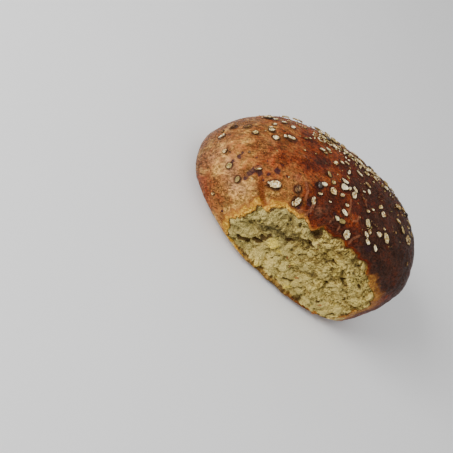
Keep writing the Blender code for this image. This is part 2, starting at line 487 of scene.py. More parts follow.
class Value:
    """A number socket in a material, on which sums and products make Math nodes."""

    def __init__(self, graph: "Finish", socket: bpy.types.NodeSocket) -> None:
        """Wraps a socket of the finish's node tree."""
        self.graph = graph
        self.socket = socket

    def _math(self, operation: str, *terms: "Value | float", clamp: bool = False) -> "Value":
        """A Math node on up to three numbers or links."""
        settings = {"operation": operation, "use_clamp": clamp}
        return self.graph.node("ShaderNodeMath", settings, dict(enumerate(terms)))

    def __add__(self, other: "Value | float") -> "Value":
        """The sum."""
        return self._math("ADD", self, other)

    def __sub__(self, other: "Value | float") -> "Value":
        """The difference."""
        return self._math("SUBTRACT", self, other)

    def __rsub__(self, other: float) -> "Value":
        """A plain number minus this one."""
        return self._math("SUBTRACT", other, self)

    def __mul__(self, other: "Value | float") -> "Value":
        """The product."""
        return self._math("MULTIPLY", self, other)

    __radd__ = __add__
    __rmul__ = __mul__

    def swing(self, amount: float) -> "Value":
        """How far noise strays from its middle, times an amount."""
        return (self - NOISE_MIDDLE) * amount

    def clamped(self) -> "Value":
        """The number kept from 0 to 1."""
        return self._math("ADD", self, 0.0, clamp=True)

    def over(self, low: float, high: float) -> "Value":
        """A smooth rise from 0 at low to 1 at high."""
        settings = {"interpolation_type": "SMOOTHSTEP", "clamp": True}
        return self.graph.node("ShaderNodeMapRange", settings, {0: self, 1: low, 2: high})


@dataclass
class Finish:
    """A material that its methods build up from nodes on one Principled shader."""

    name: str
    roughness: float = 0.6
    specular: float = 0.4

    def __post_init__(self) -> None:
        """Starts the material with its shader's constant values."""
        self.material = bpy.data.materials.new(self.name)
        self.material.use_nodes = True
        self.tree = self.material.node_tree
        self.shader = self.tree.nodes["Principled BSDF"]
        self.shader.inputs["Roughness"].default_value = self.roughness
        self.shader.inputs["Specular IOR Level"].default_value = self.specular

    def node(
        self, kind: str, settings: dict | None = None, inputs: dict | None = None, output: int | str = 0
    ) -> Value:
        """Adds one node.

        Args:
            kind: The node's type.
            settings: Its own settings, set first; "stops" sets a ramp's places and colours.
            inputs: Values or links for its sockets, by name or number.
            output: The output socket that is returned.

        Returns:
            The chosen output.
        """
        made = self.tree.nodes.new(kind)
        for key, value in (settings or {}).items():
            if key == "stops":
                self._set_stops(made.color_ramp, value)
            else:
                setattr(made, key, value)
        for key, value in (inputs or {}).items():
            self.feed(made.inputs[key], value)
        return Value(self, made.outputs[output])

    @staticmethod
    def _set_stops(ramp: bpy.types.ColorRamp, stops: Stops) -> None:
        """Gives a ramp its stops, in rising order."""
        while len(ramp.elements) < len(stops):
            ramp.elements.new(1.0)
        for element, (place, colour) in zip(ramp.elements, stops):
            element.position = place
            element.color = (*colour, 1.0)

    def feed(self, socket: bpy.types.NodeSocket, value: "Value | float | Colour") -> None:
        """Links a socket to a value, or sets it to plain numbers."""
        if isinstance(value, Value):
            self.tree.links.new(value.socket, socket)
        elif isinstance(value, tuple) and socket.type == "RGBA":
            socket.default_value = (*value, 1.0)
        else:
            socket.default_value = value

    def set(self, name: str, value: "Value | float | Colour") -> None:
        """Feeds one socket of the Principled shader."""
        self.feed(self.shader.inputs[name], value)

    def number(self, name: str) -> Value:
        """The piece's own per-point number of that name."""
        return self.node("ShaderNodeAttribute", {"attribute_name": name}, output="Fac")

    def place(self, turn: float = 0.0, stretch: float = 1.0) -> Value:
        """Object coordinates, turned about Y by degrees and then squeezed along X."""
        place = self.node("ShaderNodeTexCoord", output="Object")
        if stretch == 1.0:
            return place
        turned = {"Rotation": (0.0, math.radians(turn), 0.0)}
        place = self.node("ShaderNodeMapping", None, {"Vector": place, **turned})
        return self.node("ShaderNodeMapping", None, {"Vector": place, "Scale": (1.0 / stretch, 1.0, 1.0)})

    def noise(self, wave: float, detail: float = 2.0, rough: float = 0.5, at: Value | None = None) -> Value:
        """Noise over Object coordinates.

        Args:
            wave: The size of its largest features, in metres.
            detail: How many finer layers it has.
            rough: How strong the finer layers are.
            at: Other coordinates to read it at.

        Returns:
            A number round 0.5.
        """
        inputs = {"Vector": at or self.place(), "Scale": 1.0 / wave, "Detail": detail, "Roughness": rough}
        return self.node("ShaderNodeTexNoise", None, inputs)

    def cells(self, wave: float) -> Value:
        """The distance to the nearest of scattered points about one wave apart."""
        return self.node("ShaderNodeTexVoronoi", None, {"Vector": self.place(), "Scale": 1.0 / wave})

    def ramp(self, value: Value, stops: Stops) -> Value:
        """Colours along a number."""
        return self.node("ShaderNodeValToRGB", {"stops": stops}, {"Fac": value})

    def mix(
        self, share: "Value | float", first: "Value | Colour", second: "Value | Colour", way: str = "MIX"
    ) -> Value:
        """A blend of two colours.

        Args:
            share: How much of the second shows.
            first: The colour at 0.
            second: The colour at 1.
            way: The blend type.

        Returns:
            The blended colour.
        """
        settings = {"data_type": "RGBA", "blend_type": way, "clamp_factor": True}
        return self.node("ShaderNodeMix", settings, {0: share, 6: first, 7: second}, 2)

    def tinted(self, share: Value, colour: Value, tint: Colour) -> Value:
        """A colour that is multiplied by a tint as far as the share says."""
        return self.mix(share, colour, self.mix(1.0, colour, tint, "MULTIPLY"))

    def bump(self, height: Value, distance: float, strength: float = 1.0) -> None:
        """Feeds the shader's normal with relief that is distance high where height is 1."""
        inputs = {"Height": height, "Distance": distance, "Strength": strength}
        self.set("Normal", self.node("ShaderNodeBump", None, inputs))


class CrustFinish(Finish):
    """Baked crust: golden at the left end, red-brown in the middle, near black on the right."""

    baked: Stops = (
        (0.00, (0.500, 0.260, 0.060)),
        (0.14, (0.300, 0.125, 0.028)),
        (0.34, (0.245, 0.078, 0.018)),
        (0.52, (0.215, 0.042, 0.0090)),
        (0.68, (0.116, 0.0155, 0.0036)),
        (0.84, (0.076, 0.0170, 0.0068)),
        (1.00, (0.060, 0.0215, 0.0120)),
    )
    painted_sheen_colour: Colour = (0.330, 0.165, 0.085)
    dull_tip: Colour = (0.105, 0.038, 0.028)
    vein_tint: Colour = (0.50, 0.40, 0.38)
    speck_tint: Colour = (0.34, 0.24, 0.24)
    shine_tint: tuple[float, float, float, float] = (1.0, 0.80, 0.68, 1.0)
    lobe: Pair = ((0.190, 0.027, 0.0028), (0.086, 0.0115, 0.0022))
    orange: Pair = ((0.370, 0.132, 0.024), (0.220, 0.068, 0.014))
    gold: Pair = ((0.760, 0.430, 0.045), (0.400, 0.165, 0.018))
    tan: Pair = ((0.760, 0.370, 0.060), (0.360, 0.130, 0.022))
    scorched: Colour = (0.036, 0.012, 0.016)
    pooled_wash_and_flake_shade: Colour = (0.030, 0.010, 0.006)
    furrowed: Colour = (0.160, 0.036, 0.006)
    painted_wrinkle_highlight: Colour = (0.330, 0.120, 0.055)
    base: Pair = ((0.300, 0.165, 0.040), (0.120, 0.046, 0.014))
    clinging_crumb: Pair = ((0.900, 0.720, 0.260), (0.480, 0.310, 0.075))
    relief_height: float = 0.00130

    def __init__(self) -> None:
        """Builds the nodes from the crust's own numbers: browning, edge, scorch, furrow, wrinkle and more."""
        super().__init__("baked_crust", roughness=0.42, specular=0.13)
        patches = self.noise(0.010, 3.0, 0.55)
        mottle = self.noise(0.0034, 4.0, 0.62)
        streaks = self.noise(0.0012, 3.0, 0.62, self.place(38.0, 3.2))
        grain = self.noise(0.0012, 3.0, 0.70)
        pores = self.noise(0.0008, 2.0, 0.70, self.place(52.0, 2.2))
        veins = grain.over(0.44, 0.50) * grain.over(0.56, 0.50) * patches.over(0.42, 0.60)
        specks = self.cells(0.0021).over(0.26, 0.12) * self.noise(0.004, 1.0).over(0.46, 0.60)

        brown = self.number("browning") + patches.swing(0.70) + mottle.swing(1.00)
        colour = self.ramp(brown.clamped(), self.baked)
        # Painted sheen: paler patches that stand for light reflected by the glossy crust.
        colour = self.mix(self.number("glaze"), colour, self.painted_sheen_colour)
        colour = self.mix(self.number("tip") * 0.8, colour, self.dull_tip)
        shade = 0.47 + (streaks * 0.34 + grain * 0.33 + pores * 0.33).over(0.41, 0.59)
        colour = self.mix(1.0, colour, shade + mottle.swing(0.6), "MULTIPLY")
        colour = self.tinted(veins * 0.45, colour, self.vein_tint)
        colour = self.tinted(specks * 0.40, colour, self.speck_tint)
        colour = self._beside_tear(colour, patches, mottle, grain)

        burnt = (self.number("scorch") + mottle.swing(1.3) + grain.swing(1.3)).over(0.40, 0.64)
        colour = self.mix(burnt * 0.90, colour, self.scorched)
        # Darker ring round each flake: partly egg wash that pooled there, partly painted shade from the
        # flake.
        halo = (self.number("halo") + grain.swing(0.8)).over(0.25, 0.70)
        colour = self.mix(halo * 0.80, colour, self.pooled_wash_and_flake_shade)
        colour = self.mix(self.number("furrow").over(0.30, 0.75) * 0.8, colour, self.furrowed)
        # Painted highlight: the raised wrinkles are painted paler, as if they caught the light.
        colour = self.mix(self.number("wrinkle").over(0.35, 0.75) * 0.58, colour, self.painted_wrinkle_highlight)
        colour = self.mix(self.number("under"), colour, self.mix(mottle.over(0.38, 0.62), *self.base))
        lip = (self.number("lip") + mottle.swing(1.0) + grain.swing(0.8)).over(0.35, 0.60)
        colour = self.mix(lip, colour, self.mix(grain.over(0.38, 0.62), *self.clinging_crumb))

        self.set("Base Color", colour)
        self.set("Roughness", 0.30 + mottle * 0.22 + self.number("under") * 0.3)
        self.shader.inputs["Specular Tint"].default_value = self.shine_tint
        relief = mottle * 0.55 + streaks * 0.55 + grain * 0.55 + pores * 0.45 - specks * 0.35 - veins * 0.25
        self.bump(relief, self.relief_height)

    def _beside_tear(self, colour: Value, patches: Value, mottle: Value, grain: Value) -> Value:
        """The ragged band along the tear: gold at the left, tan on the right end, red-brown on the lobe.

        Args:
            colour: The crust's colour away from the tear.
            patches: Broad noise.
            mottle: Finer noise.
            grain: The finest noise.

        Returns:
            The colour with its band.
        """
        lobe = self.mix(mottle.over(0.40, 0.60), *self.lobe)
        orange = self.mix(mottle.over(0.40, 0.60), *self.orange)
        gold = self.mix(grain.over(0.38, 0.60), *self.gold)
        tan = self.mix((grain * 0.5 + mottle * 0.5).over(0.42, 0.56), *self.tan)
        gilded = self.mix(self.number("browning").over(0.25, 0.55), gold, tan)
        near = self.number("edge") + mottle.swing(1.3) + patches.swing(1.0) + grain.swing(0.8)
        orange = self.mix(near.over(0.62, 0.92), orange, gilded)
        return self.mix(near.over(0.22, 0.78), colour, self.mix(self.number("gilt"), lobe, orange))


class CrumbFinish(Finish):
    """Torn crumb: yellow-olive, mottled, with painted shade in its hollows and warmer beside the crust."""

    torn: Stops = (
        (0.00, (0.078, 0.031, 0.005)),
        (0.25, (0.205, 0.120, 0.024)),
        (0.50, (0.360, 0.240, 0.054)),
        (0.75, (0.610, 0.440, 0.116)),
        (1.00, (0.980, 0.770, 0.240)),
    )
    tinges: Pair = ((0.250, 0.230, 0.080), (0.400, 0.240, 0.050))
    cooler: Colour = (0.250, 0.210, 0.085)
    yellow: Pair = ((0.740, 0.430, 0.035), (1.0, 0.76, 0.12))
    crusted: Pair = ((0.430, 0.220, 0.040), (0.095, 0.033, 0.008))
    painted_pit_shade: Pair = ((0.050, 0.020, 0.006), (0.110, 0.048, 0.010))
    bran_speck: Colour = (0.110, 0.044, 0.010)
    relief_height: float = 0.00200

    def __init__(self) -> None:
        """Builds the nodes from the crumb's own numbers: shade, hollow, warm, grey and edge."""
        super().__init__("torn_crumb", roughness=0.85, specular=0.12)
        patches = self.noise(0.0070, 3.0, 0.60)
        lumps = self.noise(0.0026, 4.0, 0.65)
        fine = self.noise(0.0010, 3.0, 0.70)
        # The shade number holds painted light on grain tops and painted shade in creases, with each grain's
        # own tone.
        tone = self.number("shade") + patches.swing(1.3) + lumps.swing(1.8) + fine.swing(2.6)
        colour = self.ramp(tone.clamped(), self.torn)
        colour = self.mix(0.22, colour, self.mix(patches.over(0.35, 0.65), *self.tinges))
        colour = self.mix(self.number("grey"), colour, self.mix(0.42, colour, self.cooler))
        warm = (self.number("warm") + lumps.swing(1.2) + fine.swing(1.2)).over(0.30, 0.85)
        colour = self.mix(warm * 0.85, colour, self.mix(fine.over(0.30, 0.5), *self.yellow))
        edge = (self.number("edge") + lumps.swing(1.6) + fine.swing(0.8)).over(0.40, 0.62)
        colour = self.mix(edge * 0.9, colour, self.mix(lumps.over(0.42, 0.56), *self.crusted))
        # Painted shade: the hollows are painted near black, as if in shade.
        pit_shade = self.mix(fine.over(0.4, 0.6), *self.painted_pit_shade)
        colour = self.mix(self.number("hollow") * 0.92, colour, pit_shade)
        specks = self.cells(0.0042).over(0.14, 0.06)
        self.set("Base Color", self.mix(specks * 0.6, colour, self.bran_speck))
        self.bump(lumps * 0.6 + fine * 1.2, self.relief_height)


class OatFinish(Finish):
    """Oat flakes and bran: cream to tan to brown from flake to flake, with an uneven rim."""

    oat: Stops = (
        (0.00, (0.030, 0.012, 0.005)),
        (0.22, (0.110, 0.044, 0.013)),
        (0.45, (0.270, 0.145, 0.040)),
        (0.70, (0.600, 0.430, 0.165)),
        (1.00, (0.950, 0.860, 0.580)),
    )
    husk: Pair = ((0.46, 0.38, 0.10), (0.20, 0.13, 0.03))
    toasted_rim: Colour = (0.15, 0.075, 0.022)
    relief_height: float = 0.00045

    def __init__(self) -> None:
        """Builds the nodes from each flake's own tone and husk and from how near its edge a point is."""
        super().__init__("oat_flakes", roughness=0.60, specular=0.30)
        mottle = self.noise(0.0009, 3.0, 0.6)
        tone = self.number("tone") + mottle.swing(2.8)
        colour = self.ramp(tone.clamped(), self.oat)
        colour = self.mix(self.number("husk") * 0.55, colour, self.mix(mottle, *self.husk))
        rim = (self.number("edge") + mottle.swing(1.2)).over(0.35, 0.90)
        self.set("Base Color", self.mix(rim * 0.55, colour, self.toasted_rim))
        self.bump(mottle, self.relief_height)


class SeedFinish(Finish):
    """Dark seeds with a soft shine."""

    seed: Pair = ((0.012, 0.011, 0.009), (0.060, 0.034, 0.022))
    relief_height: float = 0.0002

    def __init__(self) -> None:
        """Builds a nearly black brown that varies a little."""
        super().__init__("dark_seeds", roughness=0.35, specular=0.5)
        mottle = self.noise(0.0012, 2.0)
        self.set("Base Color", self.mix(mottle, *self.seed))
        self.bump(mottle, self.relief_height, 0.5)


class CarrotFinish(Finish):
    """Baked carrot shreds, orange with browner ends."""

    carrot: Pair = ((0.46, 0.165, 0.022), (0.26, 0.080, 0.014))
    relief_height: float = 0.0003

    def __init__(self) -> None:
        """Builds an orange that varies along each shred."""
        super().__init__("carrot_shreds", roughness=0.5, specular=0.45)
        mottle = self.noise(0.0016, 3.0, 0.6)
        self.set("Base Color", self.mix(mottle.over(0.35, 0.65), *self.carrot))
        self.bump(mottle, self.relief_height, 0.6)


@dataclass
class TornRim:
    """The ragged line where the crust ends, worked out once over the angle round the tear.

    The angle runs in the XZ plane of the superellipsoid's directions, from +X towards +Z. For each angle the
    slope from +Y at which the crust reaches a given depth is found by halving. How far the line runs in front
    of the tear's mean plane is read off the photograph's torn edge, and along the base the bottom crust
    stands out as a foot.
    """

    shape: RollShape
    camera: PhotoCamera
    samples: int = 2880
    halvings: int = 32
    searched: tuple[float, float, int] = (-0.14, 0.24, 64)
    lowest_traced: float = -0.3
    nicks: tuple[tuple[float, float], ...] = ((0.0064, 0.00080), (0.0030, 0.00065), (0.0014, 0.00045))
    foot: float = 0.0030
    foot_from: tuple[float, float] = (-0.032, -0.022)
    foot_to: tuple[float, float] = (0.0345, 0.0370)
    foot_height: tuple[float, float] = (0.0012, 0.0050)
    edge_px: tuple[tuple[float, float], ...] = (
        (224.0, 228.0), (229.8, 221.0), (235.3, 216.7), (243.0, 212.0), (248.7, 208.3), (256.4, 206.7),
        (263.0, 207.8), (266.4, 211.7), (270.9, 210.0), (277.6, 208.3), (285.3, 208.3), (290.9, 211.0),
        (297.6, 215.6), (303.0, 218.3), (307.6, 222.8), (310.9, 226.7), (316.4, 228.9), (323.0, 229.4),
        (327.6, 232.8), (334.2, 235.6), (340.9, 238.3), (343.7, 242.2), (345.3, 247.8), (350.9, 250.0),
        (354.8, 254.4), (359.8, 258.9), (365.3, 262.2), (368.7, 264.4), (369.2, 271.0), (370.9, 280.0),
        (373.7, 288.9), (374.8, 296.7), (373.0, 303.3), (366.4, 306.7),
    )

    def __post_init__(self) -> None:
        """Solves for the mean line, adds what the photograph shows and small nicks, and solves again."""
        self.angles = np.linspace(0.0, TURN, self.samples, endpoint=False)
        mean = self._solve(np.zeros(self.samples))
        points = self.shape.crust(self.directions(self.angles, mean))
        x, z = points[:, 0], points[:, 2]
        low = 1.0 - smoothstep(z, *self.foot_height)
        foot = self.foot * smoothstep(x, *self.foot_from) * (1.0 - smoothstep(x, *self.foot_to))
        foot = foot * (1.0 + 0.35 * smooth_noise(points, 0.006, 53) + 0.20 * smooth_noise(points, 0.0025, 54))
        forward = (1.0 - low) * self._traced(mean) + low * (foot + 0.0003)
        for seed, (wave, height) in enumerate(self.nicks):
            forward = forward + height * smooth_noise(points, wave, 51 + seed)
        self.slopes = self._solve(-forward)
        self.points = self.shape.crust(self.directions(self.angles, self.slopes))

    @staticmethod
    def directions(angles: Array, slopes: Array) -> Array:
        """Unit directions at those angles round +Y and slopes away from it."""
        away = np.sin(slopes)
        return np.stack([away * np.cos(angles), np.cos(slopes), away * np.sin(angles)], axis=-1)

    def _solve(self, offset: Array) -> Array:
        """The slopes at which the crust's depth is the tear plane's plus an offset."""
        low = np.full(self.samples, math.pi / 2.0)
        high = np.full(self.samples, math.pi)
        for _ in range(self.halvings):
            middle = (low + high) / 2.0
            points = self.shape.crust(self.directions(self.angles, middle))
            behind = points[:, 1] > self.shape.tear_plane(points[:, 0], points[:, 2]) + offset
            low, high = np.where(behind, middle, low), np.where(behind, high, middle)
        return (low + high) / 2.0

    def _traced(self, mean: Array) -> Array:
        """How far the photograph's torn edge lies in front of the tear's mean plane, at each angle.

        Args:
            mean: The slopes of the line on the mean plane.

        Returns:
            The distance towards the front, straight between the traced places.
        """
        start, end, count = self.searched
        slopes = mean + np.linspace(start, end, count)[:, None]
        angles = np.broadcast_to(self.angles, slopes.shape)
        points = self.shape.crust(self.directions(angles, slopes))
        shown = self.camera.pixels(points)
        shown[:, np.sin(self.angles) < self.lowest_traced] = UNSEEN_PX
        grid = SeenGrid(points, shown)
        found = [grid.index(px, py) for px, py in self.edge_px]
        places = np.array([points[at] for at in found])
        at_angle = np.array([self.angles[at[1]] for at in found])
        forward = self.shape.tear_plane(places[:, 0], places[:, 2]) - places[:, 1]
        return np.interp(self.angles, *zip(*sorted(zip(at_angle, forward))), period=TURN)

    def slope_at(self, angles: Array) -> Array:
        """The rim's slope at any angle."""
        return np.interp(angles, self.angles, self.slopes, period=TURN)

    def covers(self, direction: Array, margin: float) -> bool:
        """Whether the crust still covers a direction, at least a margin in radians inside the rim."""
        angle = math.atan2(direction[2], direction[0])
        return math.acos(float(direction[1])) < float(self.slope_at(np.array([angle]))[0]) - margin


@dataclass
class Crust:
    """The baked crust: rings of points from the roll's back to the ragged rim, a rounded lip and a pocket."""

    shape: RollShape
    rim: TornRim
    camera: PhotoCamera
    rings: int = 240
    sides: int = 384
    thickness: float = 0.0009
    pocket_depth: float = 0.009
    blister_height: float = 0.00024
    crag_height: float = 0.00022
    wrinkle_height: float = 0.00055
    scorch_depth: float = 0.00050
    furrow_depth: float = 0.00080
    calm_rim: float = 0.0012
    lip_profile: tuple[tuple[float, float], ...] = (
        (0.14, 0.10), (0.40, 0.14), (0.70, 0.08), (0.95, -0.20), (1.05, -1.2), (1.05, -4.0),
    )
    swells: tuple[Spot, ...] = (
        Spot(199.0, 165.0, 11.0, 1.5), Spot(208.0, 134.0, 10.0, 0.9), Spot(412.0, 245.0, 12.0, 0.8),
        Spot(404.0, 288.0, 8.0, 0.8), Spot(305.0, 121.0, 13.0, -0.9),
    )
    scorches: tuple[Spot, ...] = (
        Spot(237.9, 155.8, 1.9, 0.85), Spot(249.0, 172.7, 1.9, 1.0), Spot(260.7, 173.4, 1.8, 1.0),
        Spot(269.0, 174.5, 1.0, 0.8), Spot(277.7, 170.8, 1.8, 1.0), Spot(267.5, 160.5, 1.2, 0.7),
        Spot(222.0, 211.0, 1.3, 0.7), Spot(319.3, 185.0, 2.8, 1.0), Spot(296.3, 202.8, 3.1, 0.85),
        Spot(311.6, 202.6, 2.7, 0.85), Spot(262.0, 207.0, 1.2, 0.6), Spot(337.0, 216.5, 2.6, 0.7),
        Spot(366.0, 247.0, 3.4, 0.8), Spot(309.0, 213.0, 1.4, 0.6), Spot(232.5, 161.0, 1.2, 0.75),
        Spot(243.0, 162.0, 1.1, 0.70), Spot(244.5, 179.0, 1.1, 0.7), Spot(254.0, 167.5, 1.2, 0.75),
        Spot(263.5, 180.5, 1.1, 0.7), Spot(283.5, 165.0, 1.1, 0.7), Spot(288.0, 176.5, 1.1, 0.6),
        Spot(208.5, 150.0, 1.2, 0.6), Spot(216.5, 172.0, 1.1, 0.6), Spot(242.0, 152.0, 1.1, 0.75),
        Spot(229.0, 152.0, 1.1, 0.65), Spot(234.0, 193.0, 1.0, 0.6), Spot(256.0, 158.0, 1.1, 0.65),
        Spot(300.5, 174.5, 1.3, 0.6), Spot(272.0, 151.0, 1.2, 0.6),
    )
    furrows: tuple[Line, ...] = (Line(((261.0, 183.0), (262.0, 193.0), (264.5, 204.0)), 1.7, 1.0),)
    wrinkles: tuple[Line, ...] = (
        Line(((305.2, 182.6), (306.7, 191.0), (305.5, 199.0)), 0.85, 1.0),
        Line(((314.8, 203.5), (310.0, 210.5), (304.5, 215.0)), 0.90, 1.0),
        Line(((350.4, 199.8), (350.0, 207.0), (347.0, 214.0)), 0.80, 0.9),
        Line(((358.5, 217.0), (356.5, 221.0), (352.5, 221.5)), 0.75, 0.9),
        Line(((366.0, 200.0), (365.6, 206.0)), 0.75, 0.8),
        Line(((333.0, 217.5), (329.0, 222.0)), 0.75, 0.8),
        Line(((336.5, 230.0), (340.0, 226.5)), 0.75, 0.8),
        Line(((349.0, 243.0), (352.0, 238.5), (358.0, 235.5)), 0.85, 0.9),
        Line(((303.0, 156.0), (307.0, 159.0)), 0.75, 0.8),
        Line(((337.0, 164.0), (339.5, 172.0)), 0.75, 0.7),
        Line(((254.5, 168.5), (261.0, 166.5)), 0.80, 0.8),
        Line(((257.0, 190.0), (256.0, 202.0)), 0.85, 0.6),
    )
    # Painted sheen: paler patches where the glossy crust would reflect the light.
    painted_sheen_spots: tuple[Spot, ...] = (
        Spot(221.0, 150.0, 5.0, 0.32), Spot(228.0, 166.0, 5.0, 0.55), Spot(235.0, 186.0, 4.5, 0.55),
        Spot(245.0, 190.0, 3.0, 0.30), Spot(299.5, 213.0, 2.0, 0.35), Spot(298.0, 178.0, 2.5, 0.18),
        Spot(318.0, 209.0, 2.0, 0.22), Spot(270.0, 143.0, 4.0, 0.12), Spot(255.0, 186.0, 2.5, 0.16),
        Spot(212.0, 160.0, 4.0, 0.25),
    )
    lips: tuple[Spot, ...] = (
        Spot(326.0, 318.5, 3.0, 0.9), Spot(334.0, 320.0, 3.0, 0.9), Spot(342.0, 318.5, 2.4, 0.7),
        Spot(352.0, 317.0, 2.0, 0.40), Spot(291.0, 299.0, 1.6, 0.5), Spot(272.0, 285.5, 1.4, 0.5),
    )
    lip_reach: float = 0.0032
    tips: tuple[Spot, ...] = (
        Spot(195.5, 162.0, 9.0, 0.80), Spot(202.0, 141.0, 8.0, 0.75), Spot(199.0, 182.0, 7.0, 0.55),
        Spot(213.0, 127.0, 8.0, 0.70), Spot(232.0, 117.5, 9.0, 0.60), Spot(250.0, 118.0, 6.0, 0.40),
        Spot(229.0, 137.0, 3.0, 0.18),
    )
    paler: tuple[Spot, ...] = (
        Spot(246.0, 200.0, 9.0, -0.16), Spot(244.0, 203.0, 3.5, -0.36), Spot(275.0, 197.0, 6.0, -0.16),
        Spot(250.0, 181.0, 7.0, 0.04), Spot(222.0, 165.0, 8.0, -0.08), Spot(345.0, 177.0, 6.0, -0.06),
        Spot(330.0, 176.0, 5.0, -0.10), Spot(352.0, 214.0, 6.0, -0.14), Spot(299.0, 212.0, 3.0, -0.12),
        Spot(252.0, 145.0, 6.0, -0.08), Spot(295.0, 188.0, 4.0, -0.08), Spot(386.0, 300.0, 6.0, -0.20),
        Spot(280.0, 141.0, 4.0, -0.08),
    )
    darker: tuple[Spot, ...] = (
        Spot(203.0, 188.0, 8.0, 0.42), Spot(211.0, 206.0, 7.0, 0.42), Spot(257.0, 203.0, 3.0, 0.26),
        Spot(276.0, 149.0, 5.0, -0.10), Spot(292.0, 156.0, 6.0, 0.04), Spot(309.0, 168.0, 6.0, 0.14),
        Spot(318.0, 162.0, 5.0, 0.12), Spot(262.0, 176.0, 5.0, 0.12), Spot(325.0, 214.5, 7.5, 0.34),
        Spot(306.0, 128.0, 7.0, 0.12), Spot(366.0, 248.0, 7.0, 0.18), Spot(384.0, 268.0, 10.0, 0.16),
        Spot(204.0, 182.0, 3.0, 0.20), Spot(268.0, 160.0, 3.0, 0.15), Spot(400.0, 262.0, 8.0, 0.12),
    )

    def __post_init__(self) -> None:
        """Works out the outer surface with its relief, point by point over the ring grid."""
        self.angles = np.arange(self.sides) / self.sides * TURN
        share = np.arange(1, self.rings + 1) / self.rings
        slopes = share[:, None] * self.rim.slope_at(self.angles)
        self.base = self.shape.crust(self.rim.directions(np.broadcast_to(self.angles, slopes.shape), slopes))
        self.normals = self._normals(self.base)
        shown = self.camera.pixels(self.base)
        shown[self.camera.facing(self.base, self.normals) <= 0.0] = UNSEEN_PX
        self.seen = SeenGrid(self.base, shown)
        self.behind = self.base[..., 1] - self.base[-1, :, 1]
        self.outer = self.base + self.normals * self._relief()[..., None]

    @staticmethod
    def _normals(points: Array) -> Array:
        """Unit normals of a ring grid, from the differences along its rings and across them."""
        along = np.roll(points, -1, axis=1) - np.roll(points, 1, axis=1)
        across = np.gradient(points, axis=0)
        return unit(np.cross(along, across))

    @cached_property
    def scorch(self) -> Array:
        """How burnt the crust is in its dark craters."""
        return np.clip(self.seen.spots(self.scorches), 0.0, 1.0)

    @cached_property
    def furrow(self) -> Array:
        """Nearness to the furrow that runs down to the tear."""
        return self.seen.lines(self.furrows)

    @cached_property
    def wrinkle(self) -> Array:
        """Nearness to the raised thin lines."""
        return self.seen.lines(self.wrinkles)

    @cached_property
    def glaze(self) -> Array:
        """Painted sheen: how much paler the crust is painted where its gloss would reflect the light."""
        uneven = 1.0 + 0.45 * smooth_noise(self.base, 0.0050, 67) + 0.30 * smooth_noise(self.base, 0.0022, 68)
        return np.clip(self.seen.spots(self.painted_sheen_spots) * uneven, 0.0, 1.0)

    @cached_property
    def lip(self) -> Array:
        """Where torn crumb still clings to the base's edge."""
        return self.seen.spots(self.lips) * np.exp(-((self.behind / self.lip_reach) ** 2))

    @cached_property
    def tip(self) -> Array:
        """How dull the crust is at the tip of the roll's left end."""
        return np.clip(self.seen.spots(self.tips), 0.0, 1.0)

    @cached_property
    def browning(self) -> Array:
        """How dark the crust is baked: more to the right and the top, less by the torn side and the base."""
        x, y, z = (self.base[..., i] for i in range(3))
        dark = 0.16 + 0.56 * smoothstep(x, -0.050, 0.022) + 0.20 * smoothstep(z, 0.020, 0.050)
        dark -= 0.10 * smoothstep(-y, 0.018, 0.032) * (1.0 - smoothstep(x, -0.010, 0.012))
        dark -= 0.20 * (1.0 - smoothstep(z, 0.002, 0.020))
        dark += 0.10 * smooth_noise(self.base, 0.014, 61) + 0.07 * smooth_noise(self.base, 0.006, 62)
        dark += self.seen.spots(self.paler) + self.seen.spots(self.darker)
        return np.clip(dark, 0.0, 1.0)

    @cached_property
    def edge(self) -> Array:
        """Nearness to the tear: a golden band, wide at the left and on the right end and thin between."""
        x = self.base[..., 0]
        width = 0.0008 + 0.0014 * (1.0 - smoothstep(x, -0.030, -0.014)) + 0.0027 * smoothstep(x, 0.027, 0.034)
        width = width * (1.0 + 0.45 * smooth_noise(self.base, 0.006, 63))
        return np.exp(-((self.behind / width) ** 2)) * (self.base[..., 1] < 0.0)

    @cached_property
    def gilt(self) -> Array:
        """How golden the tear's edge is: gold at the left and right ends, red-brown on the lobe between."""
        x = self.base[..., 0]
        return 1.0 - smoothstep(x, -0.016, -0.004) + 0.90 * smoothstep(x, 0.025, 0.031)

    @cached_property
    def under(self) -> Array:
        """1 on the flat base and 0 above it."""
        return 1.0 - smoothstep(self.base[..., 2], 0.0004, 0.0036)

    def _relief(self) -> Array:
        """How far the fine forms stand out: blisters, crags where it is dark, wrinkles, pits and a furrow."""
        dark = 0.25 + 0.75 * self.browning
        relief = self.blister_height * smooth_noise(self.base, 0.0060, 64)
        relief += self.crag_height * dark * ridged_noise(self.base, 0.0030, 65)
        relief += 0.6 * self.crag_height * dark * smooth_noise(self.base, 0.0015, 66)
        fine = self.wrinkle_height * self.wrinkle - self.scorch_depth * self.scorch
        relief += fine - self.furrow_depth * self.furrow
        relief *= 1.0 - 0.75 * np.exp(-((self.behind / self.calm_rim) ** 2))
        relief += MM * self.seen.spots(self.swells)
        return relief * (1.0 - self.under)

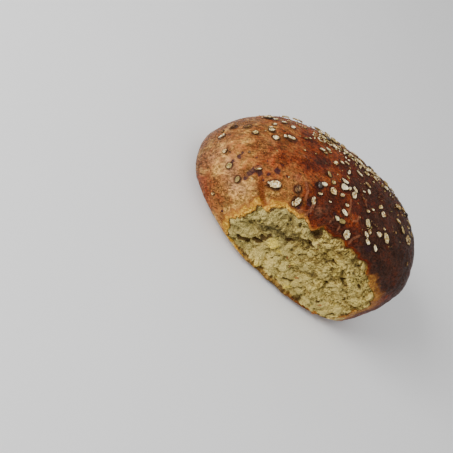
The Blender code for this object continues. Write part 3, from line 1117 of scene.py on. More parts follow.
    def build(self, finish: bpy.types.Material, halo: Array) -> bpy.types.Object:
        """Joins the outer surface, the lip round its rim and the pocket's floor into one closed piece.

        Args:
            finish: The crust's material.
            halo: How near each outer point is to a flake, from 0 to 1.

        Returns:
            The crust.
        """
        rim, normal = self.outer[-1], self.normals[-1]
        inward = unit(-normal * np.array([1.0, 0.0, 1.0]))
        front = np.array([0.0, -1.0, 0.0])
        steps = [(self.thickness * a, self.thickness * b) for a, b in self.lip_profile]
        rings = [rim + inward * inner + front * outer for inner, outer in steps]
        floor = rings[-1] + front * (-steps[-1][1] - self.pocket_depth)
        rings.append(floor)
        back_pole = self.shape.crust(np.array([[0.0, 1.0, 0.0]]))
        middle = floor.mean(axis=0, keepdims=True)
        points = np.concatenate([self.outer.reshape(-1, 3), *rings, back_pole, middle])
        count, total = self.rings + len(rings), (self.rings + len(rings)) * self.sides
        first, last = np.arange(self.sides), np.arange(total - self.sides, total)
        faces = [ring_quads(count, self.sides)[:, ::-1], fan(first, total)[:, ::-1], fan(last, total + 1)]
        numbers = {
            name: np.concatenate([values.ravel(), np.tile(values[-1], len(rings)), [values[0].mean()], [0.0]])
            for name, values in (
                ("browning", self.browning), ("scorch", self.scorch), ("furrow", self.furrow),
                ("wrinkle", self.wrinkle), ("under", self.under), ("edge", self.edge), ("gilt", self.gilt),
                ("glaze", self.glaze), ("tip", self.tip), ("lip", self.lip), ("halo", halo),
            )
        }
        return MeshData(self.shape.placed(points), faces, numbers).build("crust", finish)


@dataclass
class Crumb:
    """The torn face: a square grid drawn to the rim's D shape, with relief at many scales, closed behind."""

    shape: RollShape
    rim: TornRim
    camera: PhotoCamera
    columns: int = 408
    rows: int = 236
    middle_z: float = 0.022
    inset: float = 0.00060
    recess: float = 0.00010
    blend_width: float = 0.0028
    plug_depth: float = 0.006
    hollows: tuple[Spot, ...] = (
        Spot(259.3, 239.9, 1.9, 2.4), Spot(247.7, 241.2, 1.5, 1.6), Spot(253.0, 239.5, 1.0, 1.1),
        Spot(288.5, 240.5, 1.3, 1.3), Spot(292.0, 239.3, 1.3, 1.2), Spot(310.1, 242.5, 1.7, 2.2),
        Spot(314.5, 232.5, 2.4, 1.6), Spot(320.0, 234.0, 2.4, 1.6), Spot(325.0, 240.6, 1.2, 1.4),
        Spot(252.0, 209.6, 1.0, 1.2), Spot(244.8, 213.6, 1.0, 0.9), Spot(235.5, 226.0, 1.0, 0.9),
        Spot(341.0, 246.0, 1.1, 0.9), Spot(281.0, 213.0, 1.2, 0.8), Spot(300.0, 226.0, 1.1, 0.8),
        Spot(302.0, 283.0, 1.0, 0.9), Spot(268.0, 248.0, 0.9, 0.8), Spot(273.0, 220.0, 1.0, 0.7),
        Spot(359.5, 286.5, 1.0, 1.0), Spot(348.0, 295.0, 1.0, 0.9), Spot(352.5, 262.0, 1.0, 0.8),
        Spot(318.0, 300.5, 1.1, 1.0), Spot(301.0, 295.0, 1.0, 1.0), Spot(292.0, 250.0, 0.9, 0.8),
        Spot(241.0, 240.0, 1.1, 0.9), Spot(303.0, 238.0, 1.1, 1.0), Spot(333.0, 268.0, 1.1, 0.9),
        Spot(322.0, 287.0, 1.1, 0.9), Spot(286.0, 256.0, 0.9, 0.8), Spot(344.0, 283.0, 1.0, 0.8),
    )
    gashes: tuple[Line, ...] = (
        Line(((239.0, 235.0), (246.0, 238.0), (254.0, 239.5), (262.0, 238.5), (269.0, 235.0)), 1.15, 1.9),
        Line(((260.6, 234.6), (266.0, 233.6), (272.2, 234.6)), 1.0, 1.5),
        Line(((272.0, 234.5), (278.0, 233.5), (284.0, 237.0), (289.0, 241.0), (297.0, 242.0)), 0.80, 1.2),
        Line(((297.0, 242.0), (304.0, 240.0), (310.0, 243.0), (317.0, 247.0)), 0.70, 1.3),
        Line(((283.5, 276.5), (287.5, 277.5), (291.8, 280.0)), 0.65, 1.6),
        Line(((318.5, 279.5), (323.0, 279.5), (327.0, 283.0), (325.5, 288.0)), 0.45, 1.1),
        Line(((329.0, 257.0), (334.0, 261.5), (339.0, 264.8)), 0.50, 1.2),
        Line(((328.0, 270.0), (333.5, 270.6)), 0.45, 0.9),
        Line(((339.5, 277.0), (346.5, 276.6)), 0.55, 1.1),
        Line(((354.5, 279.8), (361.0, 278.0)), 0.50, 1.1),
        Line(((335.5, 284.0), (342.0, 289.2), (349.0, 290.8)), 0.50, 1.1),
        Line(((302.0, 263.5), (296.0, 266.8), (289.5, 268.0)), 0.50, 1.1),
        Line(((291.0, 293.0), (297.0, 295.0), (302.0, 298.5)), 0.60, 1.2),
        Line(((326.0, 315.0), (335.0, 315.2), (344.0, 313.0)), 0.60, 1.0),
        Line(((276.0, 270.0), (280.0, 271.5)), 0.50, 0.9),
        Line(((300.0, 222.0), (306.0, 228.0)), 0.50, 0.8),
    )
    lumps: tuple[Spot, ...] = (
        Spot(273.4, 243.2, 3.2, 1.9), Spot(256.7, 261.2, 2.6, 1.5), Spot(288.0, 283.5, 1.8, 0.8),
        Spot(296.0, 262.0, 1.9, 0.9), Spot(331.0, 247.0, 2.2, 0.7), Spot(246.0, 226.0, 4.0, 0.8),
        Spot(268.0, 222.0, 4.0, 0.7), Spot(300.0, 250.0, 2.4, 0.6), Spot(345.0, 301.0, 2.6, 0.7),
        Spot(340.0, 257.0, 2.2, 0.6), Spot(357.0, 270.0, 2.5, 0.7), Spot(315.0, 271.0, 3.0, 0.5),
    )
    yellows: tuple[Spot, ...] = (
        Spot(273.0, 242.0, 3.0, 1.4), Spot(279.0, 249.6, 1.6, 1.0), Spot(256.7, 261.0, 2.4, 0.9),
        Spot(288.0, 283.5, 1.6, 0.7), Spot(295.0, 262.5, 1.8, 0.7), Spot(330.0, 317.0, 2.6, 0.4),
        Spot(240.0, 247.5, 1.6, 0.7), Spot(277.0, 275.0, 1.4, 0.7),
    )
    # Painted light and painted shade: lighter and darker patches over the crumb's slopes and below the
    # crust's edge.
    painted_light_and_shade_spots: tuple[Spot, ...] = (
        Spot(247.0, 224.0, 6.0, 0.40), Spot(285.0, 221.0, 4.5, -0.20), Spot(327.0, 296.0, 6.0, 0.16),
        Spot(353.0, 282.0, 6.0, 0.16), Spot(318.0, 234.0, 4.0, -0.20), Spot(337.0, 262.0, 5.0, 0.08),
        Spot(250.0, 250.0, 4.0, 0.12), Spot(305.0, 252.0, 5.0, 0.12), Spot(344.0, 252.0, 4.0, -0.12),
        Spot(366.0, 275.0, 3.0, -0.10),
    )

    def __post_init__(self) -> None:
        """Works out the front surface and its numbers."""
        edge = self.rim.points
        at_angle = np.arctan2(edge[:, 2] - self.middle_z, edge[:, 0])
        order = np.argsort(at_angle)
        rim_reach = np.hypot(edge[:, 0], edge[:, 2] - self.middle_z)[order] - self.inset
        u, v = np.meshgrid(np.linspace(-1, 1, self.columns), np.linspace(-1, 1, self.rows), indexing="ij")
        disc_x, disc_z = u * np.sqrt(1.0 - v * v / 2.0), v * np.sqrt(1.0 - u * u / 2.0)
        share, angle = np.hypot(disc_x, disc_z), np.arctan2(disc_z, disc_x)
        reach = np.interp(angle, at_angle[order], rim_reach, period=TURN)
        self.x = share * reach * np.cos(angle)
        self.z = np.maximum(self.middle_z + share * reach * np.sin(angle), self.inset)
        self.inside = (1.0 - share) * reach
        self.edge_y = np.interp(angle, at_angle[order], edge[order, 1], period=TURN)
        self.at = np.stack([self.x, np.zeros_like(self.x), self.z], axis=-1)
        mean = np.stack([self.x, self.shape.tear_plane(self.x, self.z), self.z], axis=-1)
        broad = np.stack([smooth_noise(self.at, 0.0048, 92 + i) for i in range(3)], axis=-1)
        close = np.stack([smooth_noise(self.at, 0.0017, 72 + i) for i in range(3)], axis=-1)
        warp = (0.00100 * broad + 0.00055 * close) * np.array([1.0, 0.0, 1.0])
        self.seen = SeenGrid(self.at + warp, self.camera.pixels(mean))
        self._grain()
        self.front = self._front(mean[..., 1])

    def _grain(self) -> None:
        """Crumb grains at three sizes over soft waves, and the shade that goes with them.

        The places are bent by noise first. The shade is painted light on a grain and painted shade in the
        creases round it, besides each grain's own tone.
        """
        x, _, z = np.moveaxis(self.seen.points, -1, 0)
        clumps, clump_tone = granules(x, z, 0.0052, 73)
        grains, grain_tone = granules(x, z, 0.0024, 76)
        crumbs, crumb_tone = granules(x, z, 0.0011, 79)
        waves = smooth_noise(self.seen.points, 0.0090, 82)
        self.fine = 0.00105 * clumps + 0.00050 * grains + 0.00026 * crumbs + 0.0012 * waves
        rough = smoothstep(smooth_noise(self.at, 0.012, 83), -0.5, 0.5)
        self.fine = self.fine * (0.6 + 0.6 * rough)
        # Painted shade: the creases between the clumps are painted darker.
        cracks = smoothstep(-clumps, 0.10, 0.65) * rough
        shade = 0.42 + 0.24 * clump_tone + 0.16 * grain_tone + 0.12 * crumb_tone - 0.42 * cracks
        low = 1.0 - smoothstep(self.z, 0.006, 0.022)
        shade += 0.16 - 0.07 * smoothstep(self.x, -0.036, 0.034) + 0.44 * low
        # Painted light and painted shade in patches.
        shade += self.seen.spots(self.painted_light_and_shade_spots)
        # Painted light: the raised clumps, grains and waves are painted lighter.
        self.shade = shade + 0.18 * clumps + 0.18 * grains + 0.12 * crumbs + 0.12 * waves

    def _front(self, mean: Array) -> Array:
        """The front surface: the tear plane with lumps, gashes, hollows and grain, blended to the rim.

        Args:
            mean: The tear plane's depth at each point.

        Returns:
            The depth y of the front.
        """
        ragged = 0.85 + 0.35 * smooth_noise(self.at, 0.0022, 84)
        broken = smoothstep(smooth_noise(self.at, 0.0040, 89), -0.75, 0.35)
        sunk = np.maximum(self.seen.spots(self.hollows, 4.0), self.seen.lines(self.gashes, 4.0) * broken)
        self.sunk = sunk * ragged
        pores, _ = granules(self.seen.points[..., 0], self.seen.points[..., 2], 0.0034, 85)
        picked = smoothstep(smooth_noise(self.at, 0.005, 88), 0.0, 0.5)
        self.sunk = np.maximum(self.sunk, 0.8 * smoothstep(pores, 0.84, 0.99) * picked)
        relief = MM * (self.seen.spots(self.lumps) - 0.9 * self.sunk) + self.fine
        inner = smoothstep(self.inside, 0.0, self.blend_width)
        held = self.edge_y + self.recess
        return inner * (mean - relief) + (1.0 - inner) * (held - 0.35 * self.fine)

    @cached_property
    def hollow(self) -> Array:
        """How deep a point lies below its surroundings, from 0 to 1; it sets the painted shade in the
        hollows.
        """
        return smoothstep(self.sunk, 0.30, 1.00)

    @cached_property
    def warm(self) -> Array:
        """Yellow lumps, and patches of warmer crumb."""
        patches = 0.35 * smoothstep(smooth_noise(self.at, 0.005, 86), 0.15, 0.7)
        return np.clip(self.seen.spots(self.yellows) + patches, 0.0, 1.0)

    @cached_property
    def grey(self) -> Array:
        """The cooler, greyer crumb of the plateau at the upper left."""
        upper = 1.0 - smoothstep(self.x - 0.30 * self.z, -0.021, -0.012)
        return np.clip(0.8 * upper + 0.5 * smooth_noise(self.at, 0.008, 87), 0.0, 1.0)

    @cached_property
    def edge(self) -> Array:
        """Nearness to the crust, over a ragged band that is wider along the base."""
        width = 0.0009 * (1.0 + 0.6 * smooth_noise(self.at, 0.004, 80))
        by_base = 0.0016 * (1.0 - smoothstep(self.z, 0.0030, 0.0060))
        width += by_base * (1.0 - smoothstep(self.x, 0.012, 0.020))
        return np.exp(-((self.inside / width) ** 2))

    def build(self, finish: bpy.types.Material) -> bpy.types.Object:
        """Closes the front surface with walls inside the crust and a flat back.

        Args:
            finish: The crumb's material.

        Returns:
            The crumb.
        """
        points = np.stack([self.x, self.front, self.z], axis=-1)
        index = np.arange(self.columns * self.rows).reshape(self.columns, self.rows)
        corners = [index[:-1, :-1], index[1:, :-1], index[1:, 1:], index[:-1, 1:]]
        quads = np.stack(corners, axis=-1).reshape(-1, 4)
        loop = np.concatenate([index[:-1, 0], index[-1, :-1], index[:0:-1, -1], index[0, :0:-1]])
        wall = points.reshape(-1, 3)[loop] * np.array([1.0, 0.0, 1.0])
        wall[:, 1] = self.shape.tear_plane(wall[:, 0], wall[:, 2]) + self.plug_depth
        middle = wall.mean(axis=0, keepdims=True)
        first = points.size // 3
        back = np.arange(first, first + len(loop))
        sides = np.stack([loop, back, np.roll(back, -1), np.roll(loop, -1)], axis=-1)
        faces = [quads, sides, fan(back, first + len(loop))[:, ::-1]]
        every = np.concatenate([points.reshape(-1, 3), wall, middle])
        extra = np.zeros(len(loop) + 1)
        labels = ("shade", "hollow", "warm", "grey", "edge")
        numbers = {label: np.concatenate([getattr(self, label).ravel(), extra]) for label in labels}
        return MeshData(self.shape.placed(every), faces, numbers).build("crumb", finish)


class Flake(NamedTuple):
    """One flake: where it lies, how it is turned, how large it is and its tone from brown to white."""

    point: Array
    normal: Array
    tangent: Array
    length: float
    width: float
    turn: float
    tip: float
    swell: Array
    tone: float


def column(flakes: list[Flake], name: str) -> Array:
    """One value of every flake, one row each."""
    return np.array([getattr(flake, name) for flake in flakes])


class Form(Enum):
    """Cross forms of what lies on the crust: rings of reach, height over half the thickness, and cup dip."""

    FLAKE = ((0.50, 0.72, 0.9), (0.84, 1.00, 0.1), (1.00, 0.50, 0.0), (0.98, -0.50, 0.0), (0.55, -0.75, 0.0))
    BIT = ((0.72, 0.95, 0.3), (1.00, 0.10, 0.0), (0.70, -0.70, 0.0))
    SEED = ((0.50, 0.87, 0.0), (0.85, 0.52, 0.0), (1.00, 0.00, 0.0), (0.85, -0.52, 0.0), (0.50, -0.87, 0.0))


@dataclass
class Scatter:
    """Many small bodies of one form, joined into one mesh."""

    form: Form
    corners: int
    between: int
    seed: int
    thickness: float
    thickness_share: float
    sink: float
    curl: float = 0.10
    fray: float = 0.16

    def _outlines(self, rng: np.random.Generator, swell: Array) -> Array:
        """Straight-sided uneven outlines of about unit reach, one for each body.

        Args:
            rng: The seeded source of chance.
            swell: A random number from 0 to 1 for each corner of each body.

        Returns:
            Points x and y: corners at uneven angles, and points between them on straight sides.
        """
        count = len(swell)
        uneven = rng.uniform(-0.25, 0.25, (count, self.corners))
        angle = (np.arange(self.corners) + uneven) / self.corners * TURN
        swell = swell[:, np.arange(self.corners) % swell.shape[1]]
        reach = 0.88 + 0.26 * swell + self.fray * (rng.random((count, self.corners)) - 0.5)
        corner = np.stack([reach * np.cos(angle), reach * np.sin(angle)], axis=-1)
        share = (np.arange(self.between) / self.between)[:, None]
        beyond = np.roll(corner, -1, axis=1)
        points = corner[:, :, None] + share * (beyond - corner)[:, :, None]
        points = points.reshape(count, self.corners * self.between, 2)
        return points * (1.0 + 0.35 * self.fray * (rng.random(points.shape[:2])[..., None] - 0.3))

    def mesh(self, flakes: list[Flake], shape: RollShape) -> MeshData:
        """Draws every body from the same rings of points, each with its own outline, cup, curl, turn and tip.

        Args:
            flakes: The bodies.
            shape: The roll, for the frame they are placed in.

        Returns:
            One mesh with tone, husk and edge numbers at each point.
        """
        rng = np.random.default_rng(self.seed)
        count, sides = len(flakes), self.corners * self.between
        reach_at, height_at, dip_at = (np.array(column) for column in zip(*self.form.value))
        rings = len(reach_at)
        outline = self._outlines(rng, column(flakes, "swell"))
        length = column(flakes, "length")[:, None, None]
        width = column(flakes, "width")[:, None, None]
        thick = self.thickness + self.thickness_share * length
        x = outline[:, None, :, 0] * reach_at[:, None] * length / 2.0
        y = outline[:, None, :, 1] * reach_at[:, None] * width / 2.0
        cup = rng.uniform(0.0, 1.1, (count, 1, 1))
        bend = rng.uniform(-0.5, 1.0, (count, 1, 1)) * self.curl
        z = (height_at[:, None] - cup * dip_at[:, None]) * thick / 2.0 + bend * (x * x / length)
        local = np.stack([x, y, z], axis=-1).reshape(count, rings * sides, 3)
        poles = np.zeros((count, 2, 3))
        poles[:, 0, 2] = (thick * (0.40 - 0.60 * cup * dip_at[0]))[:, 0, 0]
        poles[:, 1, 2] = -thick[:, 0, 0] * 0.40
        local = np.concatenate([local, poles], axis=1)
        local[..., 2] += self.sink * thick[:, :, 0]
        points = self._turned(local, flakes)
        whole = rings * sides + 2
        step = np.arange(count)[:, None, None] * whole
        quads = (ring_quads(rings, sides)[None] + step).reshape(-1, 4)
        top = (fan(np.arange(sides), whole - 2)[None] + step).reshape(-1, 3)
        last = np.arange((rings - 1) * sides, rings * sides)
        foot = (fan(last, whole - 1)[None, :, ::-1] + step).reshape(-1, 3)
        husk = smoothstep(rng.random(count), 0.55, 1.0)
        border = np.concatenate([np.repeat(smoothstep(reach_at, 0.8, 1.0), sides), [0.0, 0.0]])
        numbers = {
            "tone": np.repeat(column(flakes, "tone"), whole),
            "husk": np.repeat(husk, whole),
            "edge": np.tile(border, count),
        }
        return MeshData(shape.placed(points.reshape(-1, 3)), [quads, top, foot], numbers)

    @staticmethod
    def _turned(local: Array, flakes: list[Flake]) -> Array:
        """Each body tipped about its own length, turned about its normal and set on the crust."""
        tip = column(flakes, "tip")[:, None]
        turn = column(flakes, "turn")[:, None]
        x, y, z = (local[..., i] for i in range(3))
        y, z = y * np.cos(tip) - z * np.sin(tip), y * np.sin(tip) + z * np.cos(tip)
        x, y = x * np.cos(turn) - y * np.sin(turn), x * np.sin(turn) + y * np.cos(turn)
        point = column(flakes, "point")
        normal = column(flakes, "normal")
        tangent = column(flakes, "tangent")
        basis = np.stack([tangent, np.cross(normal, tangent), normal], axis=1)
        return point[:, None, :] + np.einsum("fpk,fkj->fpj", np.stack([x, y, z], axis=-1), basis)


SHOWN_FLAKES = (
    Shown(222.1, 136.6, 3.6, 1.2, 25, 0.95), Shown(223.2, 131.9, 1.8, 1.6, 0, 0.12),
    Shown(233.6, 127.3, 3.8, 0.8, 25, 0.18), Shown(248.6, 126.9, 3.6, 0.9, 20, 0.20),
    Shown(255.0, 132.3, 2.7, 2.2, 0, 0.52), Shown(225.4, 150.9, 2.5, 2.3, 0, 0.48),
    Shown(229.6, 165.9, 3.4, 2.3, 30, 0.48), Shown(257.9, 168.7, 3.2, 0.8, 0, 0.50),
    Shown(270.0, 127.3, 2.3, 1.2, 10, 0.80), Shown(272.1, 129.8, 3.2, 1.8, 10, 0.85),
    Shown(275.0, 124.8, 2.4, 1.1, 30, 0.85), Shown(285.0, 122.6, 2.9, 1.3, 0, 0.95),
    Shown(275.7, 137.6, 3.4, 2.1, -10, 0.88), Shown(285.4, 136.2, 1.7, 2.3, 0, 0.85),
    Shown(291.8, 138.4, 4.8, 2.1, -25, 0.80), Shown(293.7, 127.6, 2.2, 1.8, 0, 0.95),
    Shown(275.5, 185.5, 4.4, 3.6, 10, 0.72), Shown(269.6, 183.6, 2.8, 1.2, -30, 0.72),
    Shown(297.9, 189.4, 3.8, 2.5, 60, 0.20), Shown(298.2, 201.6, 4.2, 3.2, 40, 0.66),
    Shown(293.6, 203.0, 2.0, 1.4, 80, 0.72), Shown(312.8, 200.8, 3.9, 2.3, 80, 0.62),
    Shown(321.8, 150.0, 3.0, 1.6, 0, 0.98), Shown(328.4, 149.6, 2.6, 1.6, -20, 0.95),
    Shown(334.9, 146.9, 3.3, 1.9, -30, 0.82), Shown(323.5, 137.2, 2.8, 1.5, -15, 0.70),
    Shown(326.5, 153.4, 2.2, 1.0, 20, 0.50), Shown(330.8, 152.6, 1.8, 0.8, 10, 0.62),
    Shown(345.5, 152.6, 3.4, 1.3, -40, 0.70), Shown(353.9, 157.6, 3.4, 1.5, -45, 0.60),
    Shown(359.4, 162.8, 4.2, 2.0, -42, 0.80), Shown(369.2, 171.2, 3.4, 1.7, -40, 0.75),
    Shown(334.6, 163.4, 2.4, 2.2, 60, 0.62), Shown(341.0, 162.4, 2.8, 1.0, -40, 0.78),
    Shown(346.0, 163.5, 2.6, 0.9, -45, 0.66), Shown(348.4, 172.4, 2.8, 1.6, 60, 0.85),
    Shown(328.2, 174.4, 3.4, 2.1, 78, 0.48), Shown(365.9, 174.0, 3.4, 1.2, -10, 0.72),
    Shown(359.8, 174.2, 3.6, 0.8, -40, 0.85), Shown(323.6, 184.2, 2.7, 2.4, 0, 1.00),
    Shown(332.8, 182.8, 2.5, 2.1, 0, 0.45), Shown(332.8, 191.6, 4.0, 3.6, 80, 0.56),
    Shown(320.4, 194.0, 2.8, 1.1, 0, 0.60), Shown(345.4, 182.2, 3.9, 2.6, -30, 0.96),
    Shown(343.4, 187.6, 4.1, 3.4, 0, 0.94), Shown(350.2, 188.8, 2.2, 2.0, 40, 0.90),
    Shown(355.2, 190.0, 3.6, 1.1, -65, 0.84), Shown(341.2, 195.6, 2.9, 2.1, 30, 0.66),
    Shown(352.8, 195.6, 3.6, 3.0, 30, 0.78), Shown(363.0, 192.2, 1.7, 1.1, 0, 0.98),
    Shown(368.8, 192.8, 2.9, 2.2, 80, 0.96), Shown(368.4, 185.4, 3.8, 0.9, -40, 0.60),
    Shown(329.6, 202.4, 1.3, 0.9, -30, 0.95), Shown(347.6, 205.4, 2.2, 1.6, -20, 0.80),
    Shown(344.4, 212.8, 3.7, 2.3, -60, 0.94), Shown(336.8, 218.0, 2.5, 1.8, -60, 0.96),
    Shown(342.0, 221.2, 3.2, 2.4, 0, 0.12), Shown(367.4, 211.6, 2.1, 2.0, 0, 0.58),
    Shown(371.6, 209.6, 1.6, 1.2, 0, 0.72), Shown(379.8, 207.4, 2.9, 2.3, 60, 0.42),
    Shown(383.4, 214.6, 3.7, 2.2, 70, 0.66), Shown(367.6, 223.4, 4.1, 2.7, 85, 0.88),
    Shown(365.6, 234.4, 3.2, 2.2, -50, 0.78), Shown(369.8, 231.6, 3.0, 2.0, -80, 0.46),
    Shown(378.4, 234.8, 3.5, 2.4, -45, 0.78), Shown(385.2, 237.2, 5.4, 2.3, 85, 0.68),
    Shown(383.8, 229.2, 1.6, 1.2, -60, 0.62), Shown(346.6, 234.4, 4.5, 3.9, 60, 0.80),
    Shown(398.6, 221.4, 3.8, 1.5, -30, 0.62), Shown(402.6, 231.2, 4.0, 2.8, -75, 0.62),
    Shown(366.8, 241.0, 3.3, 1.8, -55, 0.84), Shown(374.8, 248.4, 3.4, 1.5, -70, 0.92),
    Shown(303.6, 150.0, 1.4, 1.0, 0, 0.60), Shown(338.0, 143.0, 2.4, 1.4, -30, 0.62),
    Shown(327.0, 139.5, 2.4, 1.2, -20, 0.72), Shown(350.0, 156.0, 2.6, 1.2, -40, 0.72),
    Shown(356.5, 160.5, 2.8, 1.4, -40, 0.68), Shown(362.5, 166.0, 2.8, 1.3, -40, 0.74),
    Shown(372.5, 174.5, 2.6, 1.3, -45, 0.66), Shown(320.0, 132.5, 2.4, 1.2, -20, 0.76),
    Shown(299.0, 124.0, 2.0, 1.0, -20, 0.60), Shown(305.5, 127.0, 2.0, 1.0, -20, 0.40),
    Shown(276.0, 119.0, 2.2, 1.0, 10, 0.80), Shown(311.0, 139.0, 1.8, 1.0, 0, 0.66),
    Shown(304.5, 138.5, 1.8, 0.9, 10, 0.45), Shown(213.5, 193.5, 1.8, 1.5, 0, 0.46),
    Shown(237.5, 179.3, 3.3, 2.1, 65, 0.30),
)
SHOWN_SEEDS = (Shown(319.4, 185.6, 3.6, 2.4, 70, 0.0),)


@dataclass
class Topping:
    """Oat flakes, bits, bran and seeds on the crust, by the solid's own seeded rule and by the photograph."""

    shape: RollShape
    crust: Crust
    seed: int = 7
    drawn: int = 420
    sides: int = 6
    shortest: float = 0.0015
    common_growth: float = 0.0024
    large_growth: float = 0.0028
    closeness: float = 0.42
    bare_rim: float = 0.0025
    lowest: float = 0.018
    fused: int = 132
    bits_drawn: int = 1100
    frame_step: float = 0.02
    most_tip: float = 0.22
    most_shown_tip: float = 0.36
    most_bit_tip: float = 0.15
    halo_reach: float = 0.72
    sharp_degrees: float = 35.0
    ridge_aside: tuple[float, float] = (-0.55, 0.84)
    shortest_bit: float = 0.0005
    bit_growth: float = 0.0013
    bit_reach: float = 1.25
    sliver_share: float = 0.25
    lowest_bit: float = 0.012
    bit_rim_margin: float = 0.05
    back_seed_size: tuple[float, float] = (0.0028, 0.0018)
    squarely_seen: float = 0.36
    kept_where_seen: float = 0.10
    ridge_bits: int = 100
    ridge_width: float = 6.5
    ridge_px: tuple[tuple[float, float], ...] = (
        (314.0, 131.0), (322.0, 135.5), (331.0, 141.0), (345.0, 150.5), (357.0, 159.0), (368.0, 169.0),
        (377.0, 179.0),
    )
    drifts: tuple[tuple[float, float, float, float], ...] = (
        (-0.037, 0.008, 0.16, 0.10),
        (-0.016, 0.008, 0.16, 0.12),
        (-0.002, 0.014, 0.17, 0.15),
        (0.001, -0.014, 0.10, 0.09),
        (0.014, 0.006, 0.17, 0.11),
        (0.023, -0.016, 0.12, 0.10),
        (0.036, -0.002, 0.13, 0.08),
        (-0.020, -0.027, 0.09, 0.03),
        (-0.050, -0.016, 0.17, 0.03),
        (0.012, 0.026, 0.24, 0.12),
        (-0.024, 0.028, 0.20, 0.07),
    )
    back_seeds: tuple[tuple[float, float, float], ...] = (
        (0.006, 0.024, 0.4), (-0.022, 0.020, 2.0), (0.033, 0.012, 1.1),
    )

    def __post_init__(self) -> None:
        """Draws all the flakes, bits and seeds."""
        self.seeds = self._dark_seeds()
        shown = self._shown(SHOWN_FLAKES)
        places = column(shown + self.seeds, "point")
        lengths = column(shown + self.seeds, "length")
        self.flakes = shown + [
            f for f in self._fused_flakes()
            if self.crust.camera.facing(f.point, f.normal) < self.squarely_seen
            and (np.linalg.norm(places - f.point, axis=1) > 0.45 * (lengths + f.length)).all()
        ]
        self.bits = self._small_bits(self.flakes + self.seeds) + self._ridge_bits()

    def _frame_at(self, direction: Array) -> tuple[Array, Array, Array]:
        """A point of the crust with its unit normal and one unit tangent, from two nearby points."""
        side = np.cross(direction, [0.0, 0.0, 1.0])
        side /= np.linalg.norm(side) + 1e-9
        over = np.cross(side, direction)
        near = np.array([direction, direction + self.frame_step * side, direction + self.frame_step * over])
        near /= np.linalg.norm(near, axis=-1, keepdims=True)
        point, along, across = self.shape.crust(near)
        tangent = (along - point) / np.linalg.norm(along - point)
        normal = np.cross(tangent, across - point)
        normal /= np.linalg.norm(normal)
        if normal @ (point - self.shape.centre) < 0.0:
            normal = -normal
        return point, normal, tangent

    def _drifted(self, rng: np.random.Generator, reach: float = 1.0) -> Array:
        """A random direction within one of the drifts, which are made wider by reach."""
        shares = np.array([drift[3] for drift in self.drifts])
        x, y, spread, _ = self.drifts[rng.choice(len(self.drifts), p=shares / shares.sum())]
        return self.shape.direction_over(x, y) + reach * spread * rng.normal(size=3)

    def _fused_flakes(self) -> list[Flake]:
        """The flakes that the solid has, drawn by the same rule and in the same order."""
        rng = np.random.default_rng(self.seed)
        flakes: list[Flake] = []
        for _ in range(self.drawn):
            direction = self._drifted(rng)
            direction /= np.linalg.norm(direction)
            growth = self.common_growth * rng.beta(1.4, 2.0) + self.large_growth * rng.random() ** 4
            length = self.shortest + growth
            width = length * rng.uniform(0.55, 0.95)
            turn = rng.uniform(0.0, TURN)
            tip = rng.uniform(-self.most_tip, self.most_tip)
            swell = rng.random(self.sides)
            point, normal, tangent = self._frame_at(direction)
            behind = point[1] - self.shape.tear_plane(point[0], point[2])
            if behind < self.bare_rim or point[2] < self.lowest or normal[2] < 0.05:
                continue
            if any(np.linalg.norm(point - f.point) < self.closeness * (length + f.length) for f in flakes):
                continue
            tone = float(lattice_value(np.array([len(flakes), 3, 5]), 81)) * 0.5 + 0.5
            flakes.append(Flake(point, normal, tangent, length, width, turn, tip, swell, 0.35 + 0.60 * tone))
        return sorted(flakes, key=lambda f: -f.length)[: self.fused]

    def _shown(self, shown: tuple[Shown, ...]) -> list[Flake]:
        """Bodies that the photograph shows, each on the crust behind its pixel and turned as it shows."""
        rng = np.random.default_rng(self.seed + 1)
        flakes = []
        for one in shown:
            at = self.crust.seen.index(one.px, one.py)
            point, normal = self.crust.outer[at], self.crust.normals[at]
            tangent = self.crust.camera.along(one.turn, normal)
            tip = rng.uniform(-self.most_shown_tip, self.most_shown_tip)
            size = (one.length * MM, one.width * MM)
            flakes.append(Flake(point, normal, tangent, *size, 0.0, tip, rng.random(self.sides), one.tone))
        return flakes

    def _small_bits(self, taken: list[Flake]) -> list[Flake]:
        """Fine bits between the flakes: in the same drifts, clear of larger ones, and few where they show."""
        rng = np.random.default_rng(self.seed + 2)
        places = column(taken, "point")
        lengths = column(taken, "length")
        bits = []
        for _ in range(self.bits_drawn):
            direction = unit(self._drifted(rng, self.bit_reach))
            length = self.shortest_bit + self.bit_growth * rng.beta(1.2, 2.6)
            sliver = rng.random() < self.sliver_share
            width = length * (rng.uniform(0.22, 0.36) if sliver else rng.uniform(0.5, 0.95))
            length *= 1.7 if sliver else 1.0
            turn = rng.uniform(0.0, TURN)
            tip = rng.uniform(-self.most_bit_tip, self.most_bit_tip)
            swell, tone, kept = rng.random(self.sides), rng.random(), rng.random()
            point, normal, tangent = self._frame_at(direction)
            covered = self.crust.rim.covers(direction, self.bit_rim_margin)
            if not covered or point[2] < self.lowest_bit or normal[2] < -0.05:
                continue
            plain = self.crust.camera.facing(point, normal) > self.squarely_seen
            if plain and kept > self.kept_where_seen:
                continue
            if (np.linalg.norm(places - point, axis=1) < 0.5 * lengths).any():
                continue
            tone = 0.10 + (0.35 if plain else 0.80) * tone
            bits.append(Flake(point, normal, tangent, length, width, turn, tip, swell, tone))
        return bits

